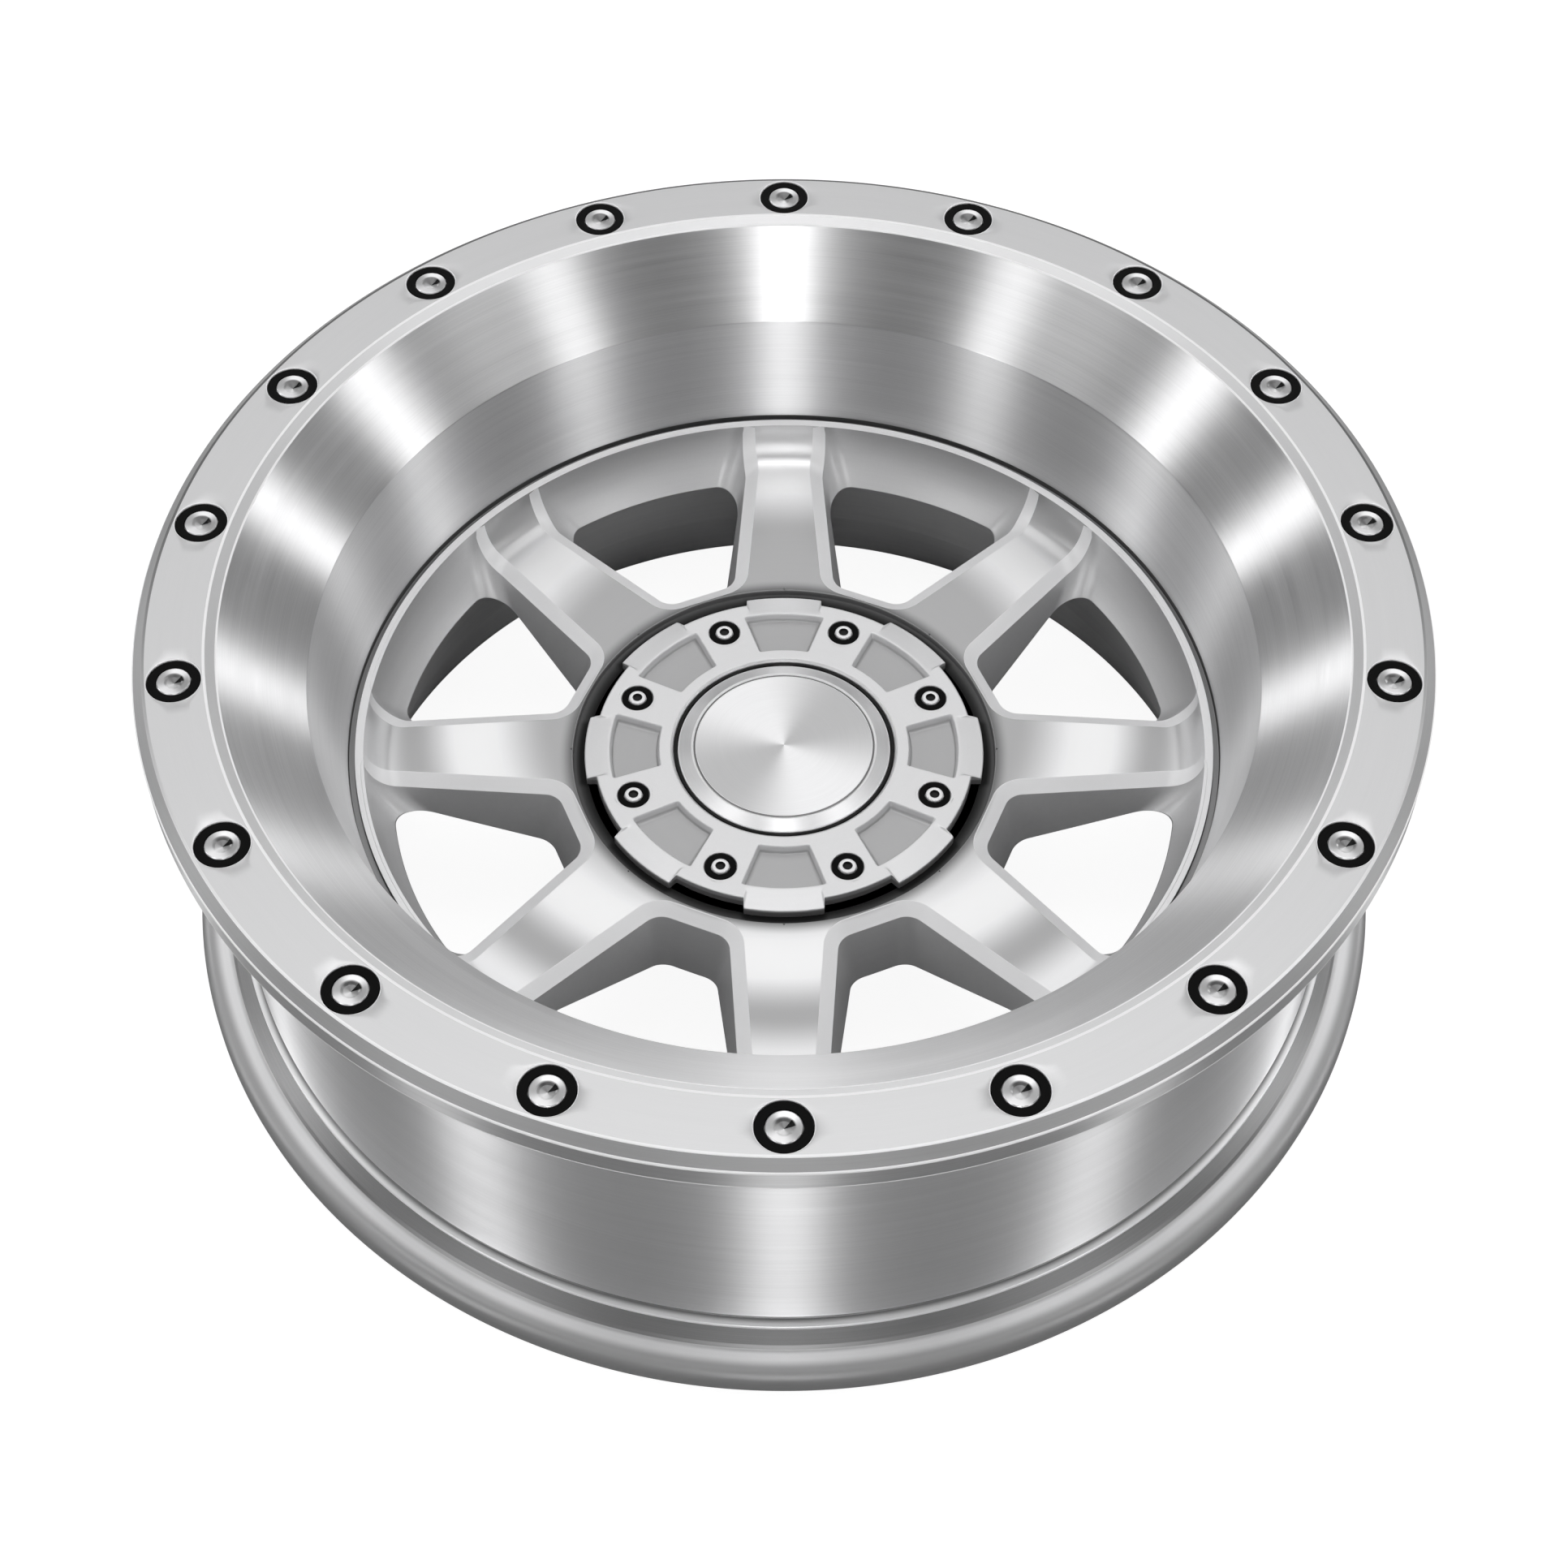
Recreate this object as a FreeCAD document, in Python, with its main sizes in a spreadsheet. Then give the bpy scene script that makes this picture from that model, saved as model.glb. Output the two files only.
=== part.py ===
import FreeCAD
import Part
import math
import os
import Sketcher

# Forged wheel lying on its rear flange, outboard face up.
# The origin is the centre of the hub bore, on the face that meets the hub. The wheel axis is Z.
# Lengths are millimetres and angles are degrees.

document = FreeCAD.newDocument("ForgedWheel")

sizes = {
    # rim and outer ring
    "bead_seat_dia": 614.4,
    "flange_height": 17.3,
    "rim_depth": 225.0,
    "face_height": 165.0,
    "ring_width": 36.3,
    "ring_edge_width": 5.7,
    "ring_edge_height": 5.2,
    "ring_thickness": 18.0,
    "seat_round": 4.0,
    "bead_seat_width": 21.0,
    "bead_seat_drop": 1.8,
    "hump_height": 1.0,
    "hump_length": 1.5,
    # deep lip
    "lip_bevel_width": 5.2,
    "lip_bevel_height": 2.8,
    "lip_end_dia": 460.0,
    "lip_end_drop": 99.5,
    "lip_step_width": 13.2,
    "lip_step_drop": 38.9,
    "lip_groove_width": 3.6,
    "lip_groove_depth": 4.0,
    "land_width": 3.6,
    "land_drop": 0.7,
    # outer barrel and rear flange
    "barrel_step": 7.7,
    "barrel_taper": 2.0,
    "barrel_ramp": 14.0,
    "barrel_wall": 7.2,
    "barrel_foot_height": 18.0,
    "rear_flange_thickness": 17.5,
    "rear_flange_round": 6.0,
    "rear_round": 2.0,
    "rear_seat_width": 6.5,
    "rear_seat_rise": 2.6,
    "rear_hump_height": 5.0,
    "rear_hump_half_width": 0.8,
    "rear_hump_slope": 2.2,
    "rear_hump_back": 1.2,
    "rear_relief_depth": 1.2,
    "rear_relief_length": 2.0,
    "foot_width": 12.5,
    # inner wall behind the windows, and the hollow between it and the barrel
    "web_back_inset": 8.8,
    "web_end_thickness": 14.0,
    "wall_bend_width": 10.0,
    "wall_bend_drop": 43.0,
    "wall_bend_length": 33.0,
    "wall_foot_width": 18.0,
    "wall_foot_gap": 2.0,
    "inner_wall": 6.8,
    "lip_wall": 7.8,
    "hollow_drop": 24.0,
    "hollow_round": 8.0,
    "hollow_taper": 1.0,
    "hollow_slope": 19.0,
    "hollow_shoulder_width": 8.0,
    "hollow_shoulder_height": 10.0,
    # spokes and windows
    "scoop_radius": 20.0,
    "scoop_lift": 0.8,
    "spoke_count": 8.0,
    "spoke_axis_half_width": 36.1,
    "spoke_edge_angle": 3.9,
    "window_seat_gap": 8.5,
    "window_level_drop": 4.0,
    "window_outer_over": 0.6,
    "window_low_inset": 13.5,
    "window_draft_angle": 13.0,
    "window_top_over": 1.0,
    "window_depth": 46.0,
    "window_inner_corner": 11.0,
    "window_outer_corner": 13.0,
    "edge_bevel_width": 6.5,
    "edge_bevel_depth": 4.0,
    # hub
    "hub_bore_dia": 116.7,
    "pad_dia": 208.0,
    "pad_relief": 2.5,
    "pad_edge": 4.0,
    "cap_seat_dia": 226.0,
    "cap_seat_depth": 4.0,
    "lug_circle_dia": 165.1,
    "lug_count": 8.0,
    "lug_hole_dia": 15.8,
    "lug_seat_dia": 26.0,
    "lug_seat_angle": 60.0,
    "lug_well_dia": 33.0,
    "lug_well_depth": 15.0,
    "valve_hole_dia": 11.5,
    "valve_hole_lift": 24.5,
    # bolts on the outer ring
    "bolt_count": 18.0,
    "bolt_collar_dia": 26.4,
    "bolt_collar_thickness": 2.5,
    "bolt_recess_depth": 3.0,
    "bolt_head_dia": 16.9,
    "bolt_head_height": 2.7,
    "bolt_dish_depth": 2.0,
    "bolt_rim_width": 1.3,
    "bolt_shank_dia": 8.0,
    "bolt_shank_length": 8.5,
    # hub cap
    "cap_thickness": 7.0,
    "cap_lobe_gap": 6.3,
    "cap_waist_inset": 5.2,
    "cap_lobe_root": 3.0,
    "cap_lobe_angle": 23.0,
    "cap_lobe_fall": 2.0,
    "cap_opening_edge": 1.6,
    "cap_ledge_width": 5.2,
    "cap_ledge_thickness": 2.0,
    "pocket_inner_rim": 7.4,
    "pocket_outer_rim": 13.3,
    "pocket_axis_gap": 8.8,
    "pocket_side_angle": 19.2,
    "pocket_depth": 4.6,
    "pocket_corner": 2.4,
    "pocket_draft": 20.0,
    # disc in the cap and the ring round it
    "disc_dia": 113.6,
    "disc_rise": 1.0,
    "disc_bevel_width": 7.6,
    "disc_bevel_height": 2.6,
    "disc_step_width": 1.7,
    "disc_step_depth": 0.7,
    "seal_width": 2.4,
    "seal_drop": 1.2,
    # screws of the cap
    "screw_count": 8.0,
    "screw_edge_gap": 15.5,
    "screw_collar_dia": 16.6,
    "screw_collar_thickness": 1.3,
    "screw_recess_depth": 1.6,
    "screw_head_dia": 9.4,
    "screw_head_height": 2.2,
    "screw_edge": 0.6,
    "screw_socket_dia": 5.0,
    "screw_socket_depth": 1.5,
    "screw_shank_dia": 5.0,
    "screw_shank_length": 14.0,
    # gap between curved faces of neighbouring pieces, and how far a cut runs past a face
    "clearance": 0.3,
    "cut_over": 1.0,
}

sheet = document.addObject("Spreadsheet::Sheet", "Sizes")
for row, (size_name, size_value) in enumerate(sizes.items(), start=1):
    sheet.set("A%d" % row, size_name)
    sheet.set("B%d" % row, str(size_value))
    sheet.setAlias("B%d" % row, size_name)
document.recompute()


def full(text):
    """Expression text with each size name pointed at the sheet."""
    words = []
    for word in text.replace("(", " ( ").replace(")", " ) ").split():
        words.append("Sizes." + word if word in sizes else word)
    return " ".join(words).replace("tan (", "tan(")


def value(text):
    """Number that an expression has now."""
    result = sheet.evalExpression(full(text))
    return float(getattr(result, "Value", result))


def new_body(label):
    body = document.addObject("PartDesign::Body", label)
    body.Label = label
    if hasattr(body, "AllowCompound"):
        body.AllowCompound = True
    return body


def origin_plane(body, role):
    for item in body.Origin.OriginFeatures:
        if item.Role == role:
            return item
    raise RuntimeError("no origin plane " + role)


def new_sketch(body, name, role, lift=None, turn=None):
    """Sketch on an origin plane of the body, lifted along the plane's normal and turned about it."""
    sketch = body.newObject("Sketcher::SketchObject", name)
    sketch.AttachmentSupport = [(origin_plane(body, role), "")]
    sketch.MapMode = "FlatFace"
    if lift is not None:
        sketch.setExpression("AttachmentOffset.Base.z", full(lift))
    if turn is not None:
        sketch.setExpression("AttachmentOffset.Rotation.Angle", full(turn))
    document.recompute()
    return sketch


def hold(sketch, kind, arguments, text):
    """Driving dimension of a sketch, bound to an expression on the sheet."""
    index = sketch.addConstraint(Sketcher.Constraint(kind, *arguments, value(text)))
    sketch.setExpression("Constraints[%d]" % index, full(text))
    return index


def hold_point(sketch, geometry, end, across, up):
    """Fix one end of a line by its distances from the sketch origin."""
    hold(sketch, "DistanceX", (-1, 1, geometry, end), across)
    hold(sketch, "DistanceY", (-1, 1, geometry, end), up)


def arc_between(start, end, radius, side):
    """Arc from start to end, its middle on the left of the chord for side 1 and on the right for -1."""
    chord = end.sub(start)
    half = chord.Length / 2.0
    left = FreeCAD.Vector(-chord.y, chord.x, 0)
    left.normalize()
    reach = math.sqrt(max(radius * radius - half * half, 0.0))
    centre = (start + end) * 0.5 - left * (side * reach)
    middle = centre + left * (side * radius)
    return Part.Arc(start, middle, end)


def profile(sketch, corners):
    """Closed outline through corners.

    A corner is (across, up), or (across, up, radius, side) when an arc leaves it.
    """
    points = [FreeCAD.Vector(value(corner[0]), value(corner[1]), 0) for corner in corners]
    count = len(points)
    ends = []
    for number, corner in enumerate(corners):
        start = points[number]
        end = points[(number + 1) % count]
        if len(corner) == 2:
            index = sketch.addGeometry(Part.LineSegment(start, end), False)
            ends.append((index, 1, 2))
        else:
            arc = arc_between(start, end, value(corner[2]), corner[3])
            index = sketch.addGeometry(arc, False)
            begins = sketch.getPoint(index, 1).distanceToPoint(start) < 1e-6
            ends.append((index, 1, 2) if begins else (index, 2, 1))
    for number in range(count):
        index, first, last = ends[number]
        following = ends[(number + 1) % count]
        sketch.addConstraint(Sketcher.Constraint("Coincident", index, last, following[0], following[1]))
    for number, corner in enumerate(corners):
        index, first, last = ends[number]
        hold_point(sketch, index, first, corner[0], corner[1])
        if len(corner) > 2:
            hold(sketch, "Radius", (index,), corner[2])
    document.recompute()


def turned(body, name, sketch, cut=False, axis=None, sweep=None):
    """Turn a sketch about the wheel axis, or about its own centre line, as added or removed material."""
    feature = body.newObject("PartDesign::Groove" if cut else "PartDesign::Revolution", name)
    feature.Profile = sketch
    feature.ReferenceAxis = (sketch, [axis or "V_Axis"])
    if sweep is None:
        feature.Angle = 360.0
    else:
        feature.Midplane = True
        feature.setExpression("Angle", full(sweep))
    body.Tip = feature
    sketch.Visibility = False
    document.recompute()
    return feature


def repeated(body, name, features, count):
    """The same features repeated evenly round the wheel axis."""
    pattern = body.newObject("PartDesign::PolarPattern", name)
    pattern.Originals = features
    pattern.Axis = (origin_plane(body, "Z_Axis"), [""])
    pattern.Angle = 360.0
    pattern.setExpression("Occurrences", full(count))
    body.Tip = pattern
    document.recompute()
    return pattern


# Places on the wheel's profile, as expressions on the sheet.
rim_radius = "( bead_seat_dia / 2 + flange_height )"
seat_radius = "( bead_seat_dia / 2 )"
ring_inner = "( bead_seat_dia / 2 + flange_height - ring_width )"
rear_level = "( face_height - rim_depth )"
lip_end = "( lip_end_dia / 2 )"
lip_end_level = "( face_height - lip_end_drop )"
lip_step = "( lip_end_dia / 2 + lip_step_width )"
groove_inner = "( lip_end_dia / 2 - lip_groove_width )"
land_inner = "( lip_end_dia / 2 - lip_groove_width - land_width )"
land_level = "( face_height - lip_end_drop - land_drop )"
spoke_face = "( face_height - lip_end_drop - land_drop - scoop_lift - scoop_radius )"
cap_seat_level = "( " + spoke_face + " - cap_seat_depth )"
window_low = "( " + spoke_face + " - window_depth )"
seat_top = "( face_height - ring_thickness - seat_round )"
seat_low = "( " + seat_top + " - bead_seat_width )"
seat_end_radius = "( bead_seat_dia / 2 - bead_seat_drop )"
barrel_top = "( bead_seat_dia / 2 - barrel_step )"
barrel_low = "( bead_seat_dia / 2 - barrel_step - barrel_taper )"
barrel_inside = "( " + barrel_top + " - barrel_wall - hollow_taper )"
hollow_top = "( face_height - hollow_drop )"
rear_top = "( face_height - rim_depth + rear_flange_thickness )"
rear_seat_low = "( " + rear_top + " + rear_round )"
valve_height = "( " + rear_top + " + valve_hole_lift )"
rear_hump_level = "( " + rear_seat_low + " + rear_seat_width )"
rear_hump_top = "( " + rear_hump_level + " + rear_hump_half_width )"
rear_hump_low = "( " + rear_hump_level + " - rear_hump_half_width )"
rear_relief = "( " + barrel_low + " - rear_relief_depth )"
rear_hump = "( " + rear_relief + " + rear_hump_height )"
web_back = "( " + land_inner + " - web_back_inset )"
web_level = "( " + spoke_face + " - web_end_thickness )"
wall_bend = "( " + web_back + " + wall_bend_width )"
wall_bend_level = "( " + web_level + " - wall_bend_drop )"
wall_foot = "( " + wall_bend + " + wall_foot_width )"


def centre_line(sketch, across):
    """Upright construction line at a distance from the wheel axis, as tall as the wheel."""
    low = FreeCAD.Vector(value(across), value(rear_level), 0)
    high = FreeCAD.Vector(value(across), value("face_height"), 0)
    index = sketch.addGeometry(Part.LineSegment(low, high), True)
    hold_point(sketch, index, 1, across, rear_level)
    hold_point(sketch, index, 2, across, "face_height")
    return index


# The wheel's own profile: from the hub bore outwards along the front, then back along the rear.
wheel = new_body("forged_wheel")
wheel_profile = new_sketch(wheel, "WheelProfile", "XZ_Plane")
profile(wheel_profile, [
    # hub bore and the seat of the cap
    ("hub_bore_dia / 2", "0"),
    ("hub_bore_dia / 2", cap_seat_level),
    ("cap_seat_dia / 2", cap_seat_level),
    ("cap_seat_dia / 2", spoke_face),
    # spoke face, scooped up to the narrow land at the end of the lip
    (land_inner + " - scoop_radius", spoke_face, "scoop_radius", -1),
    (land_inner, spoke_face + " + scoop_radius"),
    (land_inner, land_level),
    (groove_inner, land_level),
    (groove_inner, lip_end_level + " - lip_groove_depth"),
    (lip_end, lip_end_level + " - lip_groove_depth"),
    # lip, in two cones
    (lip_end, lip_end_level),
    (lip_step, "face_height - lip_step_drop"),
    (ring_inner + " - lip_bevel_width", "face_height - lip_bevel_height"),
    (ring_inner, "face_height"),
    # outer ring and the front bead seat under it
    (rim_radius + " - ring_edge_width", "face_height"),
    (rim_radius, "face_height - ring_edge_height"),
    (rim_radius, "face_height - ring_thickness"),
    (seat_radius + " + seat_round", "face_height - ring_thickness", "seat_round", 1),
    (seat_radius, seat_top),
    (seat_end_radius, seat_low),
    (seat_end_radius + " + hump_height", seat_low + " - hump_length"),
    (barrel_top, seat_low + " - hump_length - barrel_ramp"),
    # barrel, rear hump, rear bead seat and rolled rear flange
    (barrel_low, rear_hump_top + " + rear_hump_slope + rear_relief_length"),
    (rear_relief, rear_hump_top + " + rear_hump_slope"),
    (rear_hump, rear_hump_top),
    (rear_hump, rear_hump_low),
    (barrel_low + " + rear_seat_rise", rear_hump_low + " - rear_hump_back"),
    (seat_radius, rear_seat_low, "rear_round", 1),
    (seat_radius + " + rear_round", rear_top),
    (rim_radius + " - rear_flange_round", rear_top, "rear_flange_round", 1),
    (rim_radius, rear_top + " - rear_flange_round"),
    (rim_radius, rear_level + " + rear_flange_round", "rear_flange_round", 1),
    (rim_radius + " - rear_flange_round", rear_level),
    (rim_radius + " - rear_flange_round - foot_width", rear_level),
    (barrel_low + " - barrel_wall", rear_level + " + barrel_foot_height"),
    # hollow between the barrel and the wall behind the windows
    (barrel_inside, hollow_top + " - hollow_round", "hollow_round", 1),
    (barrel_inside + " - hollow_round", hollow_top),
    (lip_step + " + lip_wall + hollow_shoulder_width", hollow_top + " - hollow_slope"),
    (lip_step + " + lip_wall", hollow_top + " - hollow_slope - hollow_shoulder_height"),
    (lip_end + " + lip_wall", lip_end_level),
    (wall_bend + " + inner_wall", wall_bend_level + " + wall_bend_length"),
    (wall_bend + " + inner_wall", wall_bend_level),
    (wall_foot + " + inner_wall", rear_level + " + wall_foot_gap"),
    (wall_foot, rear_level + " + wall_foot_gap"),
    (wall_bend, wall_bend_level),
    # back of the spokes and the pad that meets the hub
    (web_back, web_level),
    ("pad_dia / 2 + pad_edge", "pad_relief"),
    ("pad_dia / 2", "0"),
])
wheel_turned = turned(wheel, "WheelTurned", wheel_profile)


def fan_outline(sketch, inner, outer, axis_gap, slant, inner_corner, outer_corner):
    """Fan-shaped outline centred on the sketch's X axis.

    Each long side stands at the slant angle to that axis and passes the wheel axis at axis_gap.
    The inner edge is straight, the outer edge is an arc about the wheel axis, and the corners are round.
    """
    tilt = math.radians(value(slant))
    offset = value(axis_gap)
    near = value(inner)
    far = value(outer)
    small = value(inner_corner)
    large = value(outer_corner)
    along = FreeCAD.Vector(math.cos(tilt), math.sin(tilt), 0)
    inward = FreeCAD.Vector(math.sin(tilt), -math.cos(tilt), 0)
    # inner corner arc, tangent to the inner edge and to the side
    reach = (near + small - (offset + small) * inward.x) / along.x
    low_centre = inward * (offset + small) + along * reach
    low_edge = FreeCAD.Vector(near, low_centre.y, 0)
    low_side = low_centre - inward * small
    low_mid = low_centre + (FreeCAD.Vector(-1, 0, 0) - inward).normalize() * small
    # outer corner arc, tangent to the side and to the outer arc
    reach = math.sqrt((far - large) ** 2 - (offset + large) ** 2)
    high_centre = inward * (offset + large) + along * reach
    high_side = high_centre - inward * large
    outward = FreeCAD.Vector(high_centre.x, high_centre.y, 0).normalize()
    high_edge = high_centre + outward * large
    high_mid = high_centre + (outward - inward).normalize() * large

    def mirror(point):
        return FreeCAD.Vector(point.x, -point.y, 0)

    shapes = [
        Part.LineSegment(mirror(low_edge), low_edge),
        Part.Arc(low_edge, low_mid, low_side),
        Part.LineSegment(low_side, high_side),
        Part.Arc(high_side, high_mid, high_edge),
        Part.Arc(high_edge, FreeCAD.Vector(far, 0, 0), mirror(high_edge)),
        Part.Arc(mirror(high_edge), mirror(high_mid), mirror(high_side)),
        Part.LineSegment(mirror(high_side), mirror(low_side)),
        Part.Arc(mirror(low_side), mirror(low_mid), mirror(low_edge)),
    ]
    numbers = [sketch.addGeometry(shape, False) for shape in shapes]
    stations = [mirror(low_edge), low_edge, low_side, high_side, high_edge,
                mirror(high_edge), mirror(high_side), mirror(low_side)]

    def end_at(number, point):
        return 1 if sketch.getPoint(number, 1).distanceToPoint(point) < 1e-6 else 2

    for number in range(8):
        joint = stations[(number + 1) % 8]
        this = numbers[number]
        following = numbers[(number + 1) % 8]
        ends = (this, end_at(this, joint), following, end_at(following, joint))
        sketch.addConstraint(Sketcher.Constraint("Tangent", *ends))
    middle = numbers[4]
    sketch.addConstraint(Sketcher.Constraint("Coincident", middle, 3, -1, 1))
    sketch.addConstraint(Sketcher.Constraint("Equal", numbers[1], numbers[7]))
    sketch.addConstraint(Sketcher.Constraint("Equal", numbers[3], numbers[5]))
    left_end = (numbers[0], 1, numbers[0], 2, -1)
    sketch.addConstraint(Sketcher.Constraint("Symmetric", *left_end))
    hold(sketch, "DistanceX", (-1, 1, numbers[0], 1), inner)
    hold(sketch, "Radius", (middle,), outer)
    hold(sketch, "Radius", (numbers[1],), inner_corner)
    hold(sketch, "Radius", (numbers[3],), outer_corner)
    hold(sketch, "Distance", (-1, 1, numbers[2]), axis_gap)
    hold(sketch, "Distance", (-1, 1, numbers[6]), axis_gap)
    index = sketch.addConstraint(Sketcher.Constraint("Angle", -1, numbers[2], tilt))
    sketch.setExpression("Constraints[%d]" % index, full("( " + slant + " )") + " * 1 deg")
    document.recompute()


# Windows: each wall leans, so the opening is smaller at the back.
half_step = "180 / spoke_count"
top_level = "( " + land_level + " + window_top_over )"
window_level = "( " + spoke_face + " - window_level_drop )"
rise = "( " + top_level + " - " + window_level + " )"
fall = "( " + window_level + " - " + window_low + " )"
lean = "tan ( window_draft_angle * 1 deg )"
side_slant = "180 / spoke_count + spoke_edge_angle"
window_inner = "( cap_seat_dia / 2 + window_seat_gap )"
upper = new_sketch(wheel, "WindowTop", "XY_Plane", top_level, half_step)
fan_outline(upper, window_inner + " - " + rise + " * " + lean, land_inner + " + window_outer_over",
            "spoke_axis_half_width - " + rise + " * " + lean, side_slant,
            "window_inner_corner", "window_outer_corner")
lower = new_sketch(wheel, "WindowLow", "XY_Plane", window_low, half_step)
fan_outline(lower, window_inner + " + " + fall + " * " + lean, web_back + " - window_low_inset",
            "spoke_axis_half_width + " + fall + " * " + lean, side_slant,
            "window_inner_corner", "window_outer_corner")
window = wheel.newObject("PartDesign::SubtractiveLoft", "Window")
window.Profile = upper
window.Sections = [lower]
window.Ruled = True
wheel.Tip = window
document.recompute()
windows = repeated(wheel, "Windows", [window], "spoke_count")


def radius_of(point):
    return math.hypot(point.x, point.y)


def face_rim_edges(shape, level):
    """Names of the window edges on the flat face at a level, without circles about the wheel axis."""
    names = []
    for number, edge in enumerate(shape.Edges, start=1):
        first = edge.valueAt(edge.FirstParameter)
        last = edge.valueAt(edge.LastParameter)
        middle = edge.valueAt((edge.FirstParameter + edge.LastParameter) / 2.0)
        on_level = max(abs(first.z - level), abs(last.z - level), abs(middle.z - level)) < 0.01
        radii = [radius_of(first), radius_of(middle), radius_of(last)]
        if on_level and max(radii) - min(radii) > 0.01:
            names.append("Edge%d" % number)
    return names


# Even bevel round each window, which climbs the scoop because the edges there run on smoothly.
bevel = wheel.newObject("PartDesign::Chamfer", "WindowBevel")
bevel.Base = (windows, face_rim_edges(windows.Shape, value(spoke_face)))
bevel.ChamferType = "Two distances"
bevel.setExpression("Size", full("edge_bevel_width"))
bevel.setExpression("Size2", full("edge_bevel_depth"))
wheel.Tip = bevel
document.recompute()


def drilled(body, name, across, corners, count):
    """Round holes from a half profile turned about its own upright line, repeated round the wheel axis."""
    sketch = new_sketch(body, name + "Profile", "XZ_Plane")
    centre_line(sketch, across)
    profile(sketch, [(across + " + " + width, level) for width, level in corners])
    cut = turned(body, name, sketch, cut=True, axis="Axis0")
    return repeated(body, name + "Pattern", [cut], count)


lug_circle = "lug_circle_dia / 2"
well_floor = "( " + cap_seat_level + " - lug_well_depth )"
seat_fall = "( ( lug_seat_dia - lug_hole_dia ) / 2 / tan ( lug_seat_angle / 2 * 1 deg ) )"
drilled(wheel, "LugHoles", lug_circle, [
    ("0", cap_seat_level + " + cut_over"),
    ("lug_well_dia / 2", cap_seat_level + " + cut_over"),
    ("lug_well_dia / 2", well_floor),
    ("lug_seat_dia / 2", well_floor),
    ("lug_hole_dia / 2", well_floor + " - " + seat_fall),
    ("lug_hole_dia / 2", "0 - cut_over"),
    ("0", "0 - cut_over"),
], "lug_count")


def round_cut(body, name, across, level, radius, depth, turn, count):
    """Round straight holes cut down from a level, repeated round the wheel axis."""
    sketch = new_sketch(body, name + "Circle", "XY_Plane", level, turn)
    place = FreeCAD.Vector(value(across), 0, 0)
    index = sketch.addGeometry(Part.Circle(place, FreeCAD.Vector(0, 0, 1), value(radius)), False)
    sketch.addConstraint(Sketcher.Constraint("PointOnObject", index, 3, -1))
    hold(sketch, "DistanceX", (-1, 1, index, 3), across)
    hold(sketch, "Radius", (index,), radius)
    document.recompute()
    pocket = body.newObject("PartDesign::Pocket", name)
    pocket.Profile = sketch
    pocket.setExpression("Length", full(depth))
    body.Tip = pocket
    document.recompute()
    return repeated(body, name + "Pattern", [pocket], count)


# Shallow recesses and blind holes in the outer ring for the bolts and their collars.
bolt_circle = "( " + rim_radius + " - ring_width / 2 - ring_edge_width / 2 )"
bolt_turn = "180 / bolt_count"
bolt_floor = "( face_height - bolt_recess_depth )"
round_cut(wheel, "BoltRecesses", bolt_circle, "face_height", "bolt_collar_dia / 2 + clearance",
          "bolt_recess_depth", bolt_turn, "bolt_count")
round_cut(wheel, "BoltHoles", bolt_circle, bolt_floor, "bolt_shank_dia / 2 + clearance",
          "bolt_shank_length + cut_over", bolt_turn, "bolt_count")

# Blind holes in the cap seat, between the lug wells, for the screws of the cap.
cap_lobe = "( cap_seat_dia / 2 - cap_lobe_gap )"
cap_waist = "( cap_seat_dia / 2 - cap_lobe_gap - cap_waist_inset )"
cap_face = "( " + cap_seat_level + " + cap_thickness )"
screw_circle = "( " + cap_waist + " - screw_edge_gap )"
screw_turn = "180 / screw_count"
screw_floor = "( " + cap_face + " - screw_recess_depth )"
screw_depth = "screw_shank_length - cap_thickness + screw_recess_depth + cut_over"
round_cut(wheel, "ScrewHoles", screw_circle, cap_seat_level, "screw_shank_dia / 2 + clearance",
          screw_depth, screw_turn, "screw_count")

# Valve hole, straight through the barrel wall on the far side, reached from the rear hollow.
valve_start = barrel_low + " - 2 * barrel_wall"
valve_circle = new_sketch(wheel, "ValveCircle", "XZ_Plane", "0 - ( " + valve_start + " )")
valve_place = FreeCAD.Vector(0, value(valve_height), 0)
valve_shape = Part.Circle(valve_place, FreeCAD.Vector(0, 0, 1), value("valve_hole_dia / 2"))
valve_index = valve_circle.addGeometry(valve_shape, False)
valve_circle.addConstraint(Sketcher.Constraint("PointOnObject", valve_index, 3, -2))
hold(valve_circle, "DistanceY", (-1, 1, valve_index, 3), valve_height)
hold(valve_circle, "Radius", (valve_index,), "valve_hole_dia / 2")
document.recompute()
valve_hole = wheel.newObject("PartDesign::Pocket", "ValveHole")
valve_hole.Profile = valve_circle
valve_hole.setExpression("Length", full("3 * barrel_wall"))
wheel.Tip = valve_hole
document.recompute()

# Hub cap: a plate with eight lobes, a pocket inside each lobe, and a stepped opening for the disc.
cap_opening = "( disc_dia / 2 + seal_width )"
cap_foot_bore = "( " + cap_opening + " - cap_ledge_width )"
ledge_level = "( " + cap_seat_level + " + cap_ledge_thickness )"
pocket_inner = "( " + cap_opening + " + pocket_inner_rim )"
pocket_outer = "( " + cap_lobe + " - pocket_outer_rim )"
cap = new_body("hub_cap")
cap_profile = new_sketch(cap, "CapProfile", "XZ_Plane")
profile(cap_profile, [
    (cap_foot_bore, cap_seat_level),
    (cap_foot_bore, ledge_level),
    (cap_opening, ledge_level),
    (cap_opening, cap_face + " - cap_opening_edge"),
    (cap_opening + " + cap_opening_edge", cap_face),
    (cap_waist, cap_face),
    (cap_waist, cap_seat_level),
])
turned(cap, "CapTurned", cap_profile)
lobe_profile = new_sketch(cap, "LobeProfile", "XZ_Plane")
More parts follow.
